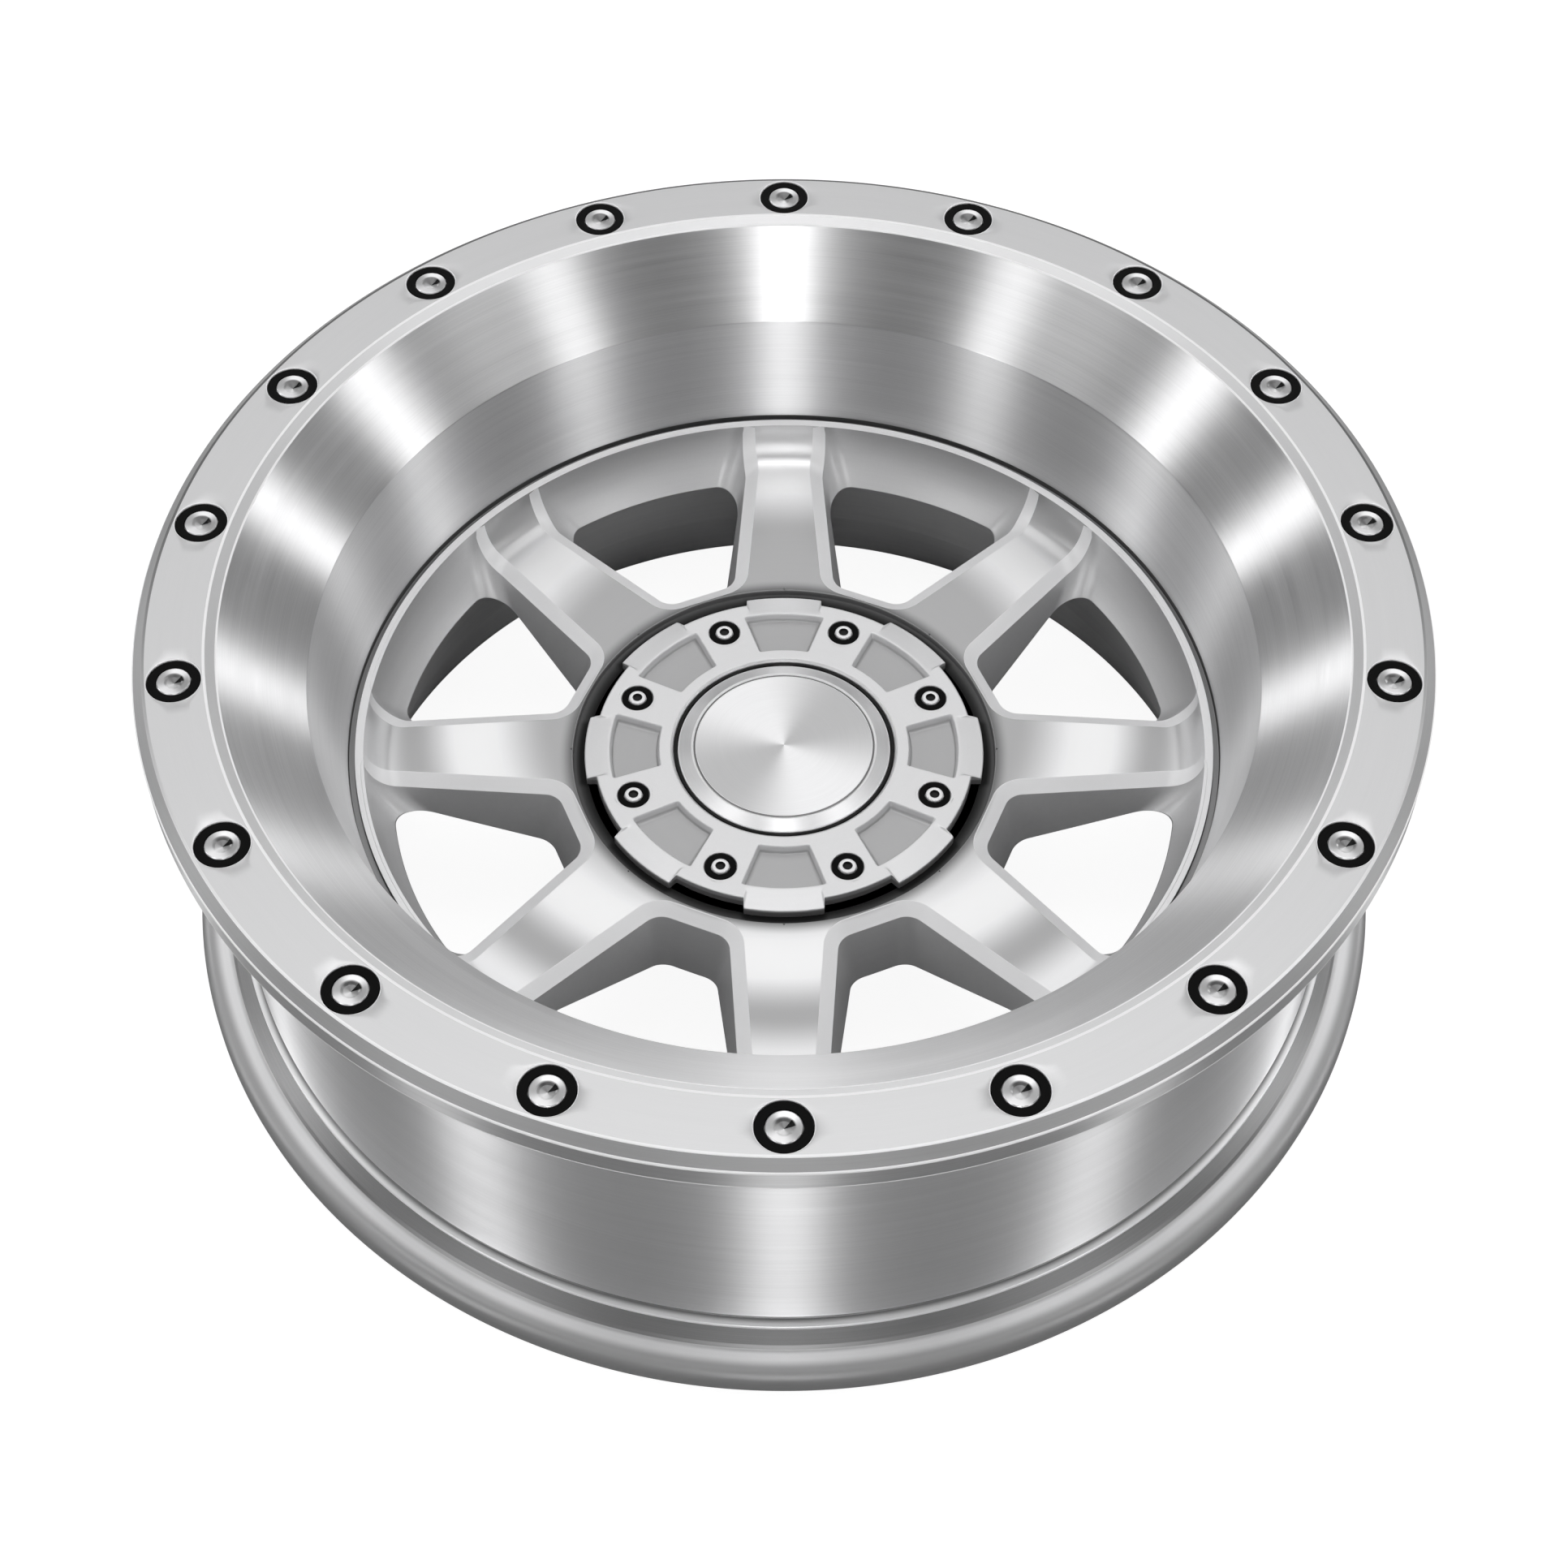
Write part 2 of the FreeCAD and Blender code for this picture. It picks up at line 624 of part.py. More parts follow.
profile(lobe_profile, [
    (cap_waist + " - cap_lobe_root", cap_seat_level),
    (cap_waist + " - cap_lobe_root", cap_face),
    (cap_lobe, cap_face),
    (cap_lobe, cap_seat_level),
])
lobe = turned(cap, "Lobe", lobe_profile, sweep="cap_lobe_angle")
repeated(cap, "Lobes", [lobe], "spoke_count")
fall_profile = new_sketch(cap, "LobeFallProfile", "XZ_Plane")
profile(fall_profile, [
    (pocket_outer + " + cut_over", cap_face),
    (cap_lobe + " + cut_over", cap_face + " - cap_lobe_fall"),
    (cap_lobe + " + cut_over", cap_face + " + cut_over"),
    (pocket_outer + " + cut_over", cap_face + " + cut_over"),
])
lobe_fall = turned(cap, "LobeFall", fall_profile, cut=True, sweep="cap_lobe_angle")
repeated(cap, "LobeFalls", [lobe_fall], "spoke_count")
pocket_sketch = new_sketch(cap, "PocketOutline", "XY_Plane", cap_face)
fan_outline(pocket_sketch, pocket_inner, pocket_outer, "pocket_axis_gap", "pocket_side_angle",
            "pocket_corner", "pocket_corner")
cap_pocket = cap.newObject("PartDesign::Pocket", "CapPocket")
cap_pocket.Profile = pocket_sketch
cap_pocket.setExpression("Length", full("pocket_depth"))
cap_pocket.setExpression("TaperAngle", full("0 - pocket_draft"))
cap.Tip = cap_pocket
document.recompute()
repeated(cap, "CapPockets", [cap_pocket], "spoke_count")
round_cut(cap, "ScrewRecesses", screw_circle, cap_face, "screw_collar_dia / 2 + clearance",
          "screw_recess_depth", screw_turn, "screw_count")
round_cut(cap, "ScrewBores", screw_circle, cap_face, "screw_shank_dia / 2 + clearance",
          "cap_thickness + cut_over", screw_turn, "screw_count")

# Spun disc that stands a little above the cap, with a bevelled rim and a fine step inside it.
disc_top = "( " + cap_face + " + disc_rise )"
disc = new_body("centre_disc")
disc_profile = new_sketch(disc, "DiscProfile", "XZ_Plane")
profile(disc_profile, [
    ("0", ledge_level),
    ("0", disc_top + " - disc_step_depth / 2"),
    ("disc_dia / 2 - disc_bevel_width - disc_step_width", disc_top + " - disc_step_depth / 2"),
    ("disc_dia / 2 - disc_bevel_width - disc_step_width / 2", disc_top + " - disc_step_depth"),
    ("disc_dia / 2 - disc_bevel_width", disc_top),
    ("disc_dia / 2", disc_top + " - disc_bevel_height"),
    ("disc_dia / 2", ledge_level),
])
turned(disc, "DiscTurned", disc_profile)

# Black ring that fills the gap between the disc and the cap.
seal = new_body("disc_seal_ring")
seal_profile = new_sketch(seal, "SealProfile", "XZ_Plane")
profile(seal_profile, [
    ("disc_dia / 2 + clearance", ledge_level),
    ("disc_dia / 2 + clearance", cap_face + " - seal_drop"),
    (cap_opening + " - clearance", cap_face + " - seal_drop"),
    (cap_opening + " - clearance", ledge_level),
])
turned(seal, "SealTurned", seal_profile)


def ring_of_pieces(label, across, corners, count, turn=None):
    """Equal turned pieces standing on a circle about the wheel axis."""
    body = new_body(label)
    sketch = new_sketch(body, label + "_profile", "XZ_Plane")
    centre_line(sketch, across)
    profile(sketch, [(across + " + " + width, level) for width, level in corners])
    piece = turned(body, label + "_piece", sketch, axis="Axis0")
    repeated(body, label + "_set", [piece], count)
    if turn is not None:
        body.setExpression("Placement.Rotation.Angle", full(turn))
        document.recompute()
    return body


bolt_top = "( face_height - bolt_recess_depth + bolt_head_height )"
bolts = ring_of_pieces("lip_bolts", bolt_circle, [
    ("0", bolt_floor + " - bolt_shank_length"),
    ("0", bolt_top + " - bolt_dish_depth"),
    ("bolt_head_dia / 2 - bolt_rim_width", bolt_top),
    ("bolt_head_dia / 2 - bolt_rim_width / 2", bolt_top),
    ("bolt_head_dia / 2", bolt_top + " - bolt_rim_width / 2"),
    ("bolt_head_dia / 2", bolt_floor),
    ("bolt_shank_dia / 2", bolt_floor),
    ("bolt_shank_dia / 2", bolt_floor + " - bolt_shank_length"),
], "bolt_count", bolt_turn)
bolt_collars = ring_of_pieces("lip_bolt_collars", bolt_circle, [
    ("bolt_head_dia / 2 + clearance", bolt_floor),
    ("bolt_head_dia / 2 + clearance", bolt_floor + " + bolt_collar_thickness"),
    ("bolt_collar_dia / 2", bolt_floor + " + bolt_collar_thickness"),
    ("bolt_collar_dia / 2", bolt_floor),
], "bolt_count", bolt_turn)
screw_top = "( " + screw_floor + " + screw_head_height )"
screws = ring_of_pieces("cap_screws", screw_circle, [
    ("0", screw_floor + " - screw_shank_length"),
    ("0", screw_top + " - screw_socket_depth"),
    ("screw_socket_dia / 2", screw_top + " - screw_socket_depth"),
    ("screw_socket_dia / 2", screw_top),
    ("screw_head_dia / 2 - screw_edge", screw_top),
    ("screw_head_dia / 2", screw_top + " - screw_edge"),
    ("screw_head_dia / 2", screw_floor),
    ("screw_shank_dia / 2", screw_floor),
    ("screw_shank_dia / 2", screw_floor + " - screw_shank_length"),
], "screw_count", screw_turn)
screw_collars = ring_of_pieces("cap_screw_collars", screw_circle, [
    ("screw_head_dia / 2 + clearance", screw_floor),
    ("screw_head_dia / 2 + clearance", screw_floor + " + screw_collar_thickness"),
    ("screw_collar_dia / 2", screw_floor + " + screw_collar_thickness"),
    ("screw_collar_dia / 2", screw_floor),
], "screw_count", screw_turn)

# Every feature must be sound and every piece a valid solid before the pieces are written.
document.recompute()
for item in document.Objects:
    if "Invalid" in item.State or "Error" in item.State:
        raise RuntimeError("broken feature " + item.Name)
solid_counts = {
    wheel: 1,
    cap: 1,
    disc: 1,
    seal: 1,
    bolts: int(value("bolt_count")),
    bolt_collars: int(value("bolt_count")),
    screws: int(value("screw_count")),
    screw_collars: int(value("screw_count")),
}
os.makedirs("parts", exist_ok=True)
for body, expected in solid_counts.items():
    shape = body.Shape
    if shape.isNull() or not shape.isValid() or shape.Volume <= 0.0:
        raise RuntimeError("bad shape in " + body.Label)
    if len(shape.Solids) != expected:
        raise RuntimeError("%s has %d solids" % (body.Label, len(shape.Solids)))
    shape.exportStep("parts/" + body.Label + ".step")
    print(body.Label, len(shape.Solids), "solids", round(shape.Volume / 1000.0, 1), "cubic centimetres")
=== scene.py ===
import bmesh
import bpy
import math
import numpy as np
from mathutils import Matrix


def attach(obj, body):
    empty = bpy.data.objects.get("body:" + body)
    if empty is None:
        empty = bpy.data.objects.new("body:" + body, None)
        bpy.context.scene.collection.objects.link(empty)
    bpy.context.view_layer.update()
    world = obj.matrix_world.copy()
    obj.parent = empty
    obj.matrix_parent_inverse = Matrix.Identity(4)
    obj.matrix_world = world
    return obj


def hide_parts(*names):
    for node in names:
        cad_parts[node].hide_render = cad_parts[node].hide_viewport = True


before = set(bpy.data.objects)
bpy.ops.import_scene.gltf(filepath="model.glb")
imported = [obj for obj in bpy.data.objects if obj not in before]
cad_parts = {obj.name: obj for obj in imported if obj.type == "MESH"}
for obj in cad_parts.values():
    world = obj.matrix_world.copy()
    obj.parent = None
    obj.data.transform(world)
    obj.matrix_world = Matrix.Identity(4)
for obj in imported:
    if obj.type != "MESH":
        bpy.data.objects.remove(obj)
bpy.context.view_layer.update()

# Lengths in this script are millimetres in the wheel's own frame: the wheel axis is Z and the origin is
# the centre of the hub bore. The meshes themselves are in metres.
MM = 0.001
TURN = 2.0 * math.pi


# Meshes

MERGE_DISTANCE, FLAT_EDGE = 0.00002, 0.000005
SMALL_COLS = 56
MIRROR = np.array([1.0, -1.0, 1.0])


def polar(radius, angle, height):
    """Points from radius, angle about the wheel axis and height: (radius cos a, radius sin a, height)."""
    return np.stack(np.broadcast_arrays(radius * np.cos(angle), radius * np.sin(angle), height), -1)


def even_angles(cols):
    """Angles of one turn in equal steps, without the closing one."""
    return np.arange(cols) * TURN / cols


def quads(rows, cols, wrap):
    """Corner numbers of a grid's four-sided faces; wrap joins the last column to the first."""
    i = np.arange(rows - 1)[:, None]
    j = np.arange(cols if wrap else cols - 1)[None, :]
    k = (j + 1) % cols
    low, high = i * cols, (i + 1) * cols
    return np.stack(np.broadcast_arrays(low + j, high + j, high + k, low + k), -1).reshape(-1, 4)


class Shell:
    """Grids of points that together make one piece, each with its finish."""

    def __init__(self):
        self.points, self.faces, self.finish_of, self.around = [], [], [], []
        self.count = 0

    def add(self, grid, finish, wrap=False, flip=False, own=None):
        """Take a grid, or a stack of equal grids, shaped (..., rows, columns, 3).

        Own, when given, holds two coordinates for each point in place of its column and row.
        """
        stack = np.asarray(grid, float)
        stack = stack.reshape((-1,) + stack.shape[-3:])
        number, rows, cols = stack.shape[:3]
        faces = quads(rows, cols, wrap)
        j = np.arange(cols if wrap else cols - 1)
        across = np.tile(np.stack([j, j, j + 1, j + 1], -1), (rows - 1, 1)) / max(cols, 1)
        up = np.repeat(np.arange(rows - 1), len(j))[:, None] + np.array([0, 1, 1, 0])
        around = np.stack([across, up / max(rows - 1, 1)], -1)
        if flip:
            faces, around = faces[:, ::-1], around[:, ::-1]
        spread = np.tile(around, (number, 1, 1))
        if own is not None:
            spread = np.asarray(own, float).reshape(number, rows * cols, 2)[:, faces]
        starts = self.count + np.arange(number) * rows * cols
        self.faces.append((faces[None] + starts[:, None, None]).reshape(-1, 4))
        self.around.append(spread.reshape(-1, 2))
        self.finish_of.append((finish, number * len(faces)))
        self.points.append(stack.reshape(-1, 3))
        self.count += number * rows * cols

    def make(self, name, finishes, nodes):
        """Put the grids into one smooth mesh, close their seams, and tie the piece to the frame."""
        points = np.concatenate(self.points) * MM
        faces = np.concatenate(self.faces)
        finish = np.concatenate([np.full(count, finishes.index(one)) for one, count in self.finish_of])
        mesh = bpy.data.meshes.new(name)
        mesh.vertices.add(len(points))
        mesh.vertices.foreach_set("co", points.ravel())
        mesh.loops.add(faces.size)
        mesh.loops.foreach_set("vertex_index", faces.ravel())
        mesh.polygons.add(len(faces))
        mesh.polygons.foreach_set("loop_start", np.arange(len(faces)) * 4)
        mesh.polygons.foreach_set("loop_total", np.full(len(faces), 4))
        mesh.polygons.foreach_set("material_index", finish)
        mesh.update(calc_edges=True)
        layer = mesh.uv_layers.new(name="around")
        layer.data.foreach_set("uv", np.concatenate(self.around).ravel())
        work = bmesh.new()
        work.from_mesh(mesh)
        bmesh.ops.remove_doubles(work, verts=work.verts, dist=MERGE_DISTANCE)
        bmesh.ops.dissolve_degenerate(work, edges=work.edges, dist=FLAT_EDGE)
        work.to_mesh(mesh)
        work.free()
        mesh.polygons.foreach_set("use_smooth", np.ones(len(mesh.polygons), bool))
        for one in finishes:
            mesh.materials.append(one)
        piece = bpy.data.objects.new(name, mesh)
        bpy.context.scene.collection.objects.link(piece)
        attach(piece, "root")
        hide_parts(*nodes)


def rounded(corners, steps=5, support=0.5):
    """Profile through corners (radius, height, rounding).

    Each inner corner becomes a true arc of its rounding, drawn as a rational curve whose middle weight is
    the cosine of half the turn. A support point stands just before and just after each arc.
    """
    corners = np.asarray(corners, float)
    place, rounding = corners[:, :2], corners[1:-1, 2]
    back = place[:-2] - place[1:-1]
    ahead = place[2:] - place[1:-1]
    back_length = np.linalg.norm(back, axis=1)
    ahead_length = np.linalg.norm(ahead, axis=1)
    back /= back_length[:, None]
    ahead /= ahead_length[:, None]
    turn = np.pi - np.arccos(np.clip((back * ahead).sum(1), -1, 1))
    room = 0.42 * np.minimum(back_length, ahead_length)
    reach = np.minimum(rounding * np.tan(turn / 2), room)
    extra = np.minimum(support, 0.1 * np.minimum(back_length, ahead_length))
    weight = np.cos(turn / 2)[:, None, None]
    u = np.linspace(0, 1, steps + 1)[None, :, None]
    start = (place[1:-1] + back * reach[:, None])[:, None]
    end = (place[1:-1] + ahead * reach[:, None])[:, None]
    middle = place[1:-1][:, None]
    top = (1 - u) ** 2 * start + 2 * u * (1 - u) * weight * middle + u ** 2 * end
    arcs = top / ((1 - u) ** 2 + 2 * u * (1 - u) * weight + u ** 2)
    before = (place[1:-1] + back * (reach + extra)[:, None])[:, None]
    after = (place[1:-1] + ahead * (reach + extra)[:, None])[:, None]
    inner = np.concatenate([before, arcs, after], 1).reshape(-1, 2)
    return np.concatenate([place[:1], inner, place[-1:]])


def revolved(profile, cols):
    """Profile of radius and height turned about the wheel axis."""
    return polar(profile[:, :1], even_angles(cols), profile[:, 1:])


def turned_copies(grid, count, first=0.0):
    """The same grid repeated evenly about the wheel axis, from a first angle in degrees."""
    angle = np.radians(first) + np.arange(count) * TURN / count
    c, s = np.cos(angle), np.sin(angle)
    zero, one = np.zeros(count), np.ones(count)
    turn = np.stack([np.stack([c, -s, zero], -1), np.stack([s, c, zero], -1),
                     np.stack([zero, zero, one], -1)], -2)
    return np.einsum("nij,rcj->nrci", turn, grid)


def small_turned(profile, circle, angle=even_angles(SMALL_COLS), shape=None):
    """Profile turned about its own upright axis, which stands at a distance from the wheel axis.

    Shape, when given, scales the radius of each row and column, as for a six-sided socket.
    """
    radius = profile[:, 0][:, None] * (np.ones(len(angle)) if shape is None else shape)
    height = np.broadcast_to(profile[:, 1][:, None], radius.shape)
    return np.stack([circle + radius * np.cos(angle), radius * np.sin(angle), height], -1)


def add_small(shell, profile, circle, count, first, finish, angle=even_angles(SMALL_COLS), shape=None):
    """Small turned shapes on a circle, repeated evenly about the wheel axis from a first angle in degrees."""
    copies = turned_copies(small_turned(profile, circle, angle, shape), count, first)
    shell.add(copies, finish, wrap=True)


def sector_angles(inner, outer, count, circle, cols=72):
    """Angles about a hole's centre: even ones, and those of the four corners of the hole's sector."""
    half = TURN / count / 2
    radius = np.array([inner, outer, outer, inner])
    turn = np.array([half, half, -half, -half])
    corner = np.arctan2(radius * np.sin(turn), radius * np.cos(turn) - circle) % TURN
    return np.sort(np.concatenate([even_angles(cols), corner]))


def holed_sector(inner, outer, count, circle, hole, height, angle, rows=6):
    """One sector of a flat ring with a round hole in it.

    Each line leaves the hole's centre at an angle and runs from the hole's edge to the first of the inner
    circle, the outer circle and the two straight sides that it meets.
    """
    half = TURN / count / 2
    c, s = np.cos(angle), np.sin(angle)
    to_outer = np.sqrt(outer ** 2 - (circle * s) ** 2) - circle * c
    inside = np.maximum(inner ** 2 - (circle * s) ** 2, 0)
    to_inner = np.where((inner > np.abs(circle * s)) & (c < 0), -circle * c - np.sqrt(inside), np.inf)
    lean = np.stack([np.sin(angle - half), -np.sin(angle + half)])
    to_side = np.where(lean > 1e-9, circle * math.sin(half) / np.maximum(lean, 1e-9), np.inf).min(0)
    reach = np.minimum(np.minimum(to_outer, to_inner), to_side)
    away = hole + (reach - hole) * np.linspace(0, 1, rows)[:, None]
    return np.stack([circle + away * c, away * s, np.full(away.shape, height)], -1)


def add_bands(shell, corners, finishes, cols, support=0.5):
    """Turned profile whose straight spans and rounded corners take their finishes in turn from a list.

    Spans whose finish is None are left out and handed back.
    """
    profile = rounded(corners, support=support)
    step = (len(profile) - 2) // (len(corners) - 2)
    first = np.arange(len(corners) - 2) * step + 1
    edges = np.concatenate([[0], np.stack([first, first + step - 1], -1).ravel(), [len(profile) - 1]])
    left_out = []
    for low, high, finish in zip(edges[:-1], edges[1:], finishes):
        if finish is None:
            left_out.append(profile[low:high + 1])
        else:
            shell.add(revolved(profile[low:high + 1], cols), finish, wrap=True)
    return left_out


# Materials

LINE_SHARE, BROAD_SHARE = 0.65, 0.35
TONE_SPAN, ROUGH_SPAN = (0.3, 0.7), (0.25, 0.75)
BUMP_DISTANCE, TURNED_ROTATION = 0.0002, 0.25
# Direction of the painted conical sheen's brightest diagonal, in degrees.
SHEEN_WAY = 125.0
# Directions of the bolt heads' painted dark wedge of reflection, painted dish shade and painted sheen, in
# degrees.
PAINTED_WEDGE_WAY, DISH_SHADE_WAY, HEAD_SHEEN_WAY = 28.0, 75.0, 72.0


def grey(value):
    """Grey of a given lightness with a trace of blue, as bare aluminium has."""
    return (value, value, value * 1.008)


def emptied(owner):
    """Node tree of a material or world, without the nodes that it starts with."""
    owner.use_nodes = True
    owner.node_tree.nodes.clear()
    return owner.node_tree


def put(tree, kind, **values):
    """New node; a value is a property of the node, or an input when its name starts with 'in_'."""
    node = tree.nodes.new(kind)
    for name, value in values.items():
        if name.startswith("in_"):
            node.inputs[name[3:].replace("_", " ")].default_value = value
        else:
            setattr(node, name, value)
    return node


def new_material(name, **values):
    """Material with one principled shader tied to its output; the values are the shader's own."""
    material = bpy.data.materials.new(name)
    tree = emptied(material)
    shader = put(tree, "ShaderNodeBsdfPrincipled", **values)
    tree.links.new(shader.outputs[0], put(tree, "ShaderNodeOutputMaterial").inputs[0])
    return material, tree, shader


def object_place(tree):
    """Place on the piece in the object's own coordinates."""
    return put(tree, "ShaderNodeTexCoord").outputs["Object"]


def own_place(tree):
    """Place on the piece in its own map."""
    return put(tree, "ShaderNodeUVMap", uv_map="around").outputs[0]


def math_node(tree, operation, first, second=None):
    """Result of an operation on one or two numbers, each given or read from a socket."""
    node = put(tree, "ShaderNodeMath", operation=operation)
    for number, value in enumerate((first, second)):
        if value is None:
            continue
        if isinstance(value, (int, float)):
            node.inputs[number].default_value = value
        else:
            tree.links.new(value, node.inputs[number])
    return node.outputs[0]


def ramp(tree, value, low, high, first, second, smooth=False):
    """Value from low to high carried over to the span from first to second."""
    node = put(tree, "ShaderNodeMapRange", clamp=True)
    node.interpolation_type = "SMOOTHSTEP" if smooth else "LINEAR"
    tree.links.new(value, node.inputs["Value"])
    for name, number in (("From Min", low), ("From Max", high), ("To Min", first), ("To Max", second)):
        node.inputs[name].default_value = number
    return node.outputs["Result"]


def facing(tree, angle, degrees, folds=1.0):
    """Cosine of the angle away from a direction, times a number of folds."""
    off = math_node(tree, "SUBTRACT", angle, math.radians(degrees))
    return math_node(tree, "COSINE", math_node(tree, "MULTIPLY", off, folds))


def new_group(name, inputs, outputs):
    """Empty node group that puts out numbers; an input without a first value is a place."""
    group = bpy.data.node_groups.new(name, "ShaderNodeTree")
    for socket, first in inputs:
        kind = "NodeSocketVector" if first is None else "NodeSocketFloat"
        made = group.interface.new_socket(socket, in_out="INPUT", socket_type=kind)
        if first is not None:
            made.default_value = first
    for socket in outputs:
        group.interface.new_socket(socket, in_out="OUTPUT", socket_type="NodeSocketFloat")
    return group, group.nodes.new("NodeGroupInput"), group.nodes.new("NodeGroupOutput")


def make_turning_marks():
    """Fine lines left by turning: noise that changes fast with radius and height and slowly with angle."""
    group, given, result = new_group(
        "turning_marks", [("Fine", 2600.0), ("Broad", 240.0), ("Wander", 3.0)],
        ["Fine", "Broad", "Radius", "Height"])
    link = group.links.new
    split = put(group, "ShaderNodeSeparateXYZ")
    link(object_place(group), split.inputs[0])
    height = split.outputs[2]
    flat = put(group, "ShaderNodeCombineXYZ")
    link(split.outputs[0], flat.inputs[0])
    link(split.outputs[1], flat.inputs[1])
    length = put(group, "ShaderNodeVectorMath", operation="LENGTH")
    link(flat.outputs[0], length.inputs[0])
    radius = length.outputs["Value"]
    unit = put(group, "ShaderNodeVectorMath", operation="NORMALIZE")
    link(flat.outputs[0], unit.inputs[0])
    way = put(group, "ShaderNodeSeparateXYZ")
    link(unit.outputs[0], way.inputs[0])
    aside, along = (math_node(group, "MULTIPLY", way.outputs[k], given.outputs["Wander"]) for k in (0, 1))
    for socket in ("Fine", "Broad"):
        spot = put(group, "ShaderNodeCombineXYZ")
        link(math_node(group, "MULTIPLY", radius, given.outputs[socket]), spot.inputs[0])
        link(math_node(group, "MULTIPLY", height, given.outputs[socket]), spot.inputs[1])
        link(aside, spot.inputs[2])
        noise = put(group, "ShaderNodeTexNoise", noise_dimensions="4D", in_Scale=1.0, in_Detail=2.0,
                    in_Roughness=0.6)
        link(spot.outputs[0], noise.inputs["Vector"])
        link(along, noise.inputs["W"])
        link(noise.outputs[0], result.inputs[socket])
    link(radius, result.inputs["Radius"])
    link(height, result.inputs["Height"])
    return group


def make_fine_grain():
    """Even grain of a blasted or satin face: two sizes of noise on the object's own place."""
    group, given, result = new_group("fine_grain", [("Size", 1800.0)], ["Grain", "Cloud"])
    place = object_place(group)
    grain = put(group, "ShaderNodeTexNoise", in_Detail=3.0, in_Roughness=0.65)
    group.links.new(place, grain.inputs["Vector"])
    group.links.new(given.outputs["Size"], grain.inputs["Scale"])
    cloud = put(group, "ShaderNodeTexNoise", in_Scale=28.0, in_Detail=3.0)
    group.links.new(place, cloud.inputs["Vector"])
    group.links.new(grain.outputs[0], result.inputs["Grain"])
    group.links.new(cloud.outputs[0], result.inputs["Cloud"])
    return group


def make_painted_spun_sheen():
    """Painted conical sheen of a spun face: a painted highlight whose tone follows twice the angle about a
    centre, brightest on one diagonal.

    Spread is the distance from the centre.
    """
    group, given, result = new_group("painted_spun_sheen", [("Place", None)], ["Tone", "Angle", "Spread"])
    split = put(group, "ShaderNodeSeparateXYZ")
    group.links.new(given.outputs["Place"], split.inputs[0])
    angle = math_node(group, "ARCTAN2", split.outputs[1], split.outputs[0])
    wave = facing(group, angle, SHEEN_WAY, 2.0)
    group.links.new(ramp(group, wave, -1.0, 1.0, 0.0, 1.0, smooth=True), result.inputs["Tone"])
    group.links.new(angle, result.inputs["Angle"])
    squares = math_node(group, "ADD", math_node(group, "POWER", split.outputs[0], 2.0),
                        math_node(group, "POWER", split.outputs[1], 2.0))
    group.links.new(math_node(group, "SQRT", squares), result.inputs["Spread"])
    return group


TURNING_MARKS = make_turning_marks()
FINE_GRAIN = make_fine_grain()
PAINTED_SPUN_SHEEN = make_painted_spun_sheen()


def painted_sheen_about(tree, place):
    """The painted conical sheen about the centre of a place."""
    node = put(tree, "ShaderNodeGroup", node_tree=PAINTED_SPUN_SHEEN)
    tree.links.new(place, node.inputs["Place"])
    return node


def grey_mix(tree, factor, dark, light):
    """Colour between a dark and a light one."""
    node = put(tree, "ShaderNodeMix", data_type="RGBA")
    tree.links.new(factor, node.inputs["Factor"])
    node.inputs[6].default_value = tuple(dark) + (1.0,)
    node.inputs[7].default_value = tuple(light) + (1.0,)
    return node.outputs[2]


def scaled(tree, colour, share):
    """Colour times a share."""
    node = put(tree, "ShaderNodeVectorMath", operation="SCALE")
    tree.links.new(colour, node.inputs[0])
    tree.links.new(share, node.inputs["Scale"])
    return node.outputs[0]


